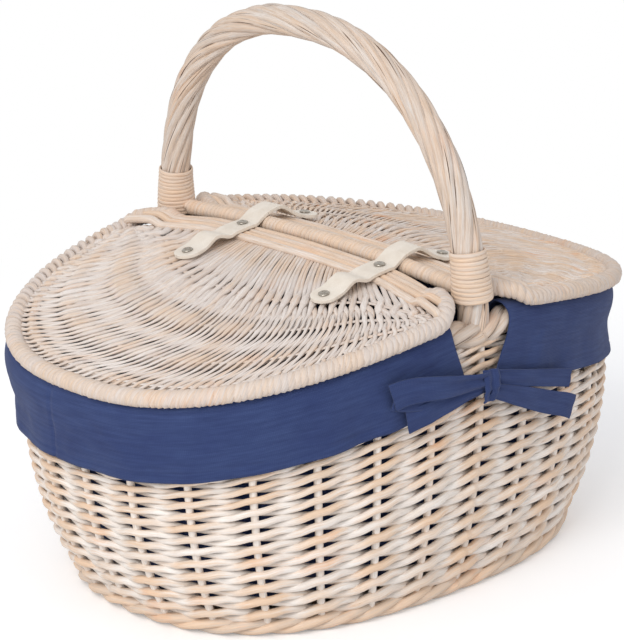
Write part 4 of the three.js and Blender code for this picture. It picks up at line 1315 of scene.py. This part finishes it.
def bowMesh(name, turn):
    whole = bmesh.new()
    for part, ribbon in bowRibbons.items():
        whole.from_mesh(ribbonMesh(f"bow_{part}", *ribbon))
    bmesh.ops.rotate(whole, cent=(0, 0, 0), matrix=Matrix.Rotation(turn, 3, "Z"), verts=whole.verts)
    return meshFrom(whole, name)


for turn, where in ((0, "near"), (pi, "far")):
    name = f"bow_{where}"
    addCloth(name, bowMesh(name, turn), f"liner_tie_{where}", bow["width"] * mm, "folded", *cuffs)
print("liner")

# The cores of the handle and the centre bar still show from below.
for node in ("handle_core", "centre_bar_core"):
    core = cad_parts[node]
    for i in range(max(1, len(core.material_slots))):
        if not core.material_slots:
            core.data.materials.append(handleWillow)
        core.material_slots[i].material = handleWillow

# Floor, light and camera

studio = {
    "floorSize": 6.0,
    "floorWhite": "F4F4F4",
    "floorGlow": 0.22,
    "fade": (0.35, 0.75),  # from the floor near the basket to plain white, metres
    "ambient": 0.74,
    "lamps": {"key": (40.0, (-2.1, -1.0, 1.8)), "fill": (1.0, (1.9, -1.2, 1.2))},
    "lampSize": 1.6,
    "lampAim": (0, 0, 0.15),
}
view = {
    "lens": 181.30,
    "sensor": 36.0,
    "eye": (-1.426085, -1.577172, 0.862691),
    "aim": (-0.000935, 0.006956, 0.163689),
    "roll": -1.316,
}


def turnTo(holder, aim, roll=0.0):
    look = (Vector(aim) - Vector(holder.location)).to_track_quat("-Z", "Y")
    holder.rotation_mode = "QUATERNION"
    holder.rotation_quaternion = look @ Quaternion((0, 0, 1), radians(roll))


# Lit near the basket. For the camera it glows a little, and turns into plain white further off.
def addFloor():
    slab = bmesh.new()
    bmesh.ops.create_grid(slab, x_segments=1, y_segments=1, size=studio["floorSize"])
    mesh = meshFrom(slab, "floor")
    material, tree = newMaterial("white_studio_floor")
    away = tree.add("VectorMath", {0: tree.place()}, operation="LENGTH").outputs["Value"]
    fade = tree.span(away, *studio["fade"], interpolation_type="SMOOTHSTEP")
    seen = tree.seenBy("Camera", "Glossy")
    lit = tree.add("BsdfDiffuse", {"Color": colour(studio["floorWhite"])}).outputs[0]
    glow, white = (
        tree.add("Emission", {"Color": (1, 1, 1, 1), "Strength": strength}).outputs[0]
        for strength in (studio["floorGlow"], 1.0)
    )
    near = tree.mixed(seen, lit, tree.add("AddShader", {0: lit, 1: glow}).outputs[0])
    whole = tree.mixed(tree.math("MULTIPLY", seen, fade), near, white)
    tree.add("OutputMaterial", {"Surface": whole})
    mesh.materials.append(material)
    linked("floor", mesh)


def addWorld():
    world = bpy.data.worlds.new("studio")
    scene.world = world
    world.use_nodes = True
    tree = Nodes(world.node_tree)
    soft, white = (
        tree.add("Background", {"Color": tint, "Strength": strength}).outputs[0]
        for tint, strength in ((colour("FAFBFF"), studio["ambient"]), ((1, 1, 1, 1), 1.0))
    )
    seen = tree.seenBy("Camera", "Glossy", "Transmission")
    tree.add("OutputWorld", {"Surface": tree.mixed(seen, soft, white)})


def addLamp(name, power, place):
    lamp = bpy.data.lights.new(name, "AREA")
    lamp.shape = "SQUARE"
    lamp.size = studio["lampSize"]
    lamp.energy = power
    holder = linked(name, lamp)
    holder.location = place
    turnTo(holder, studio["lampAim"])


def addCamera():
    camera = bpy.data.cameras.new("camera")
    camera.lens = view["lens"]
    camera.sensor_width = view["sensor"]
    camera.clip_end = 50.0
    holder = linked("camera", camera)
    holder.location = view["eye"]
    turnTo(holder, view["aim"], view["roll"])
    scene.camera = holder


addFloor()
addWorld()
for name, (power, place) in studio["lamps"].items():
    addLamp(name, power, place)
addCamera()
scene.view_settings.view_transform = "Standard"
print("studio")
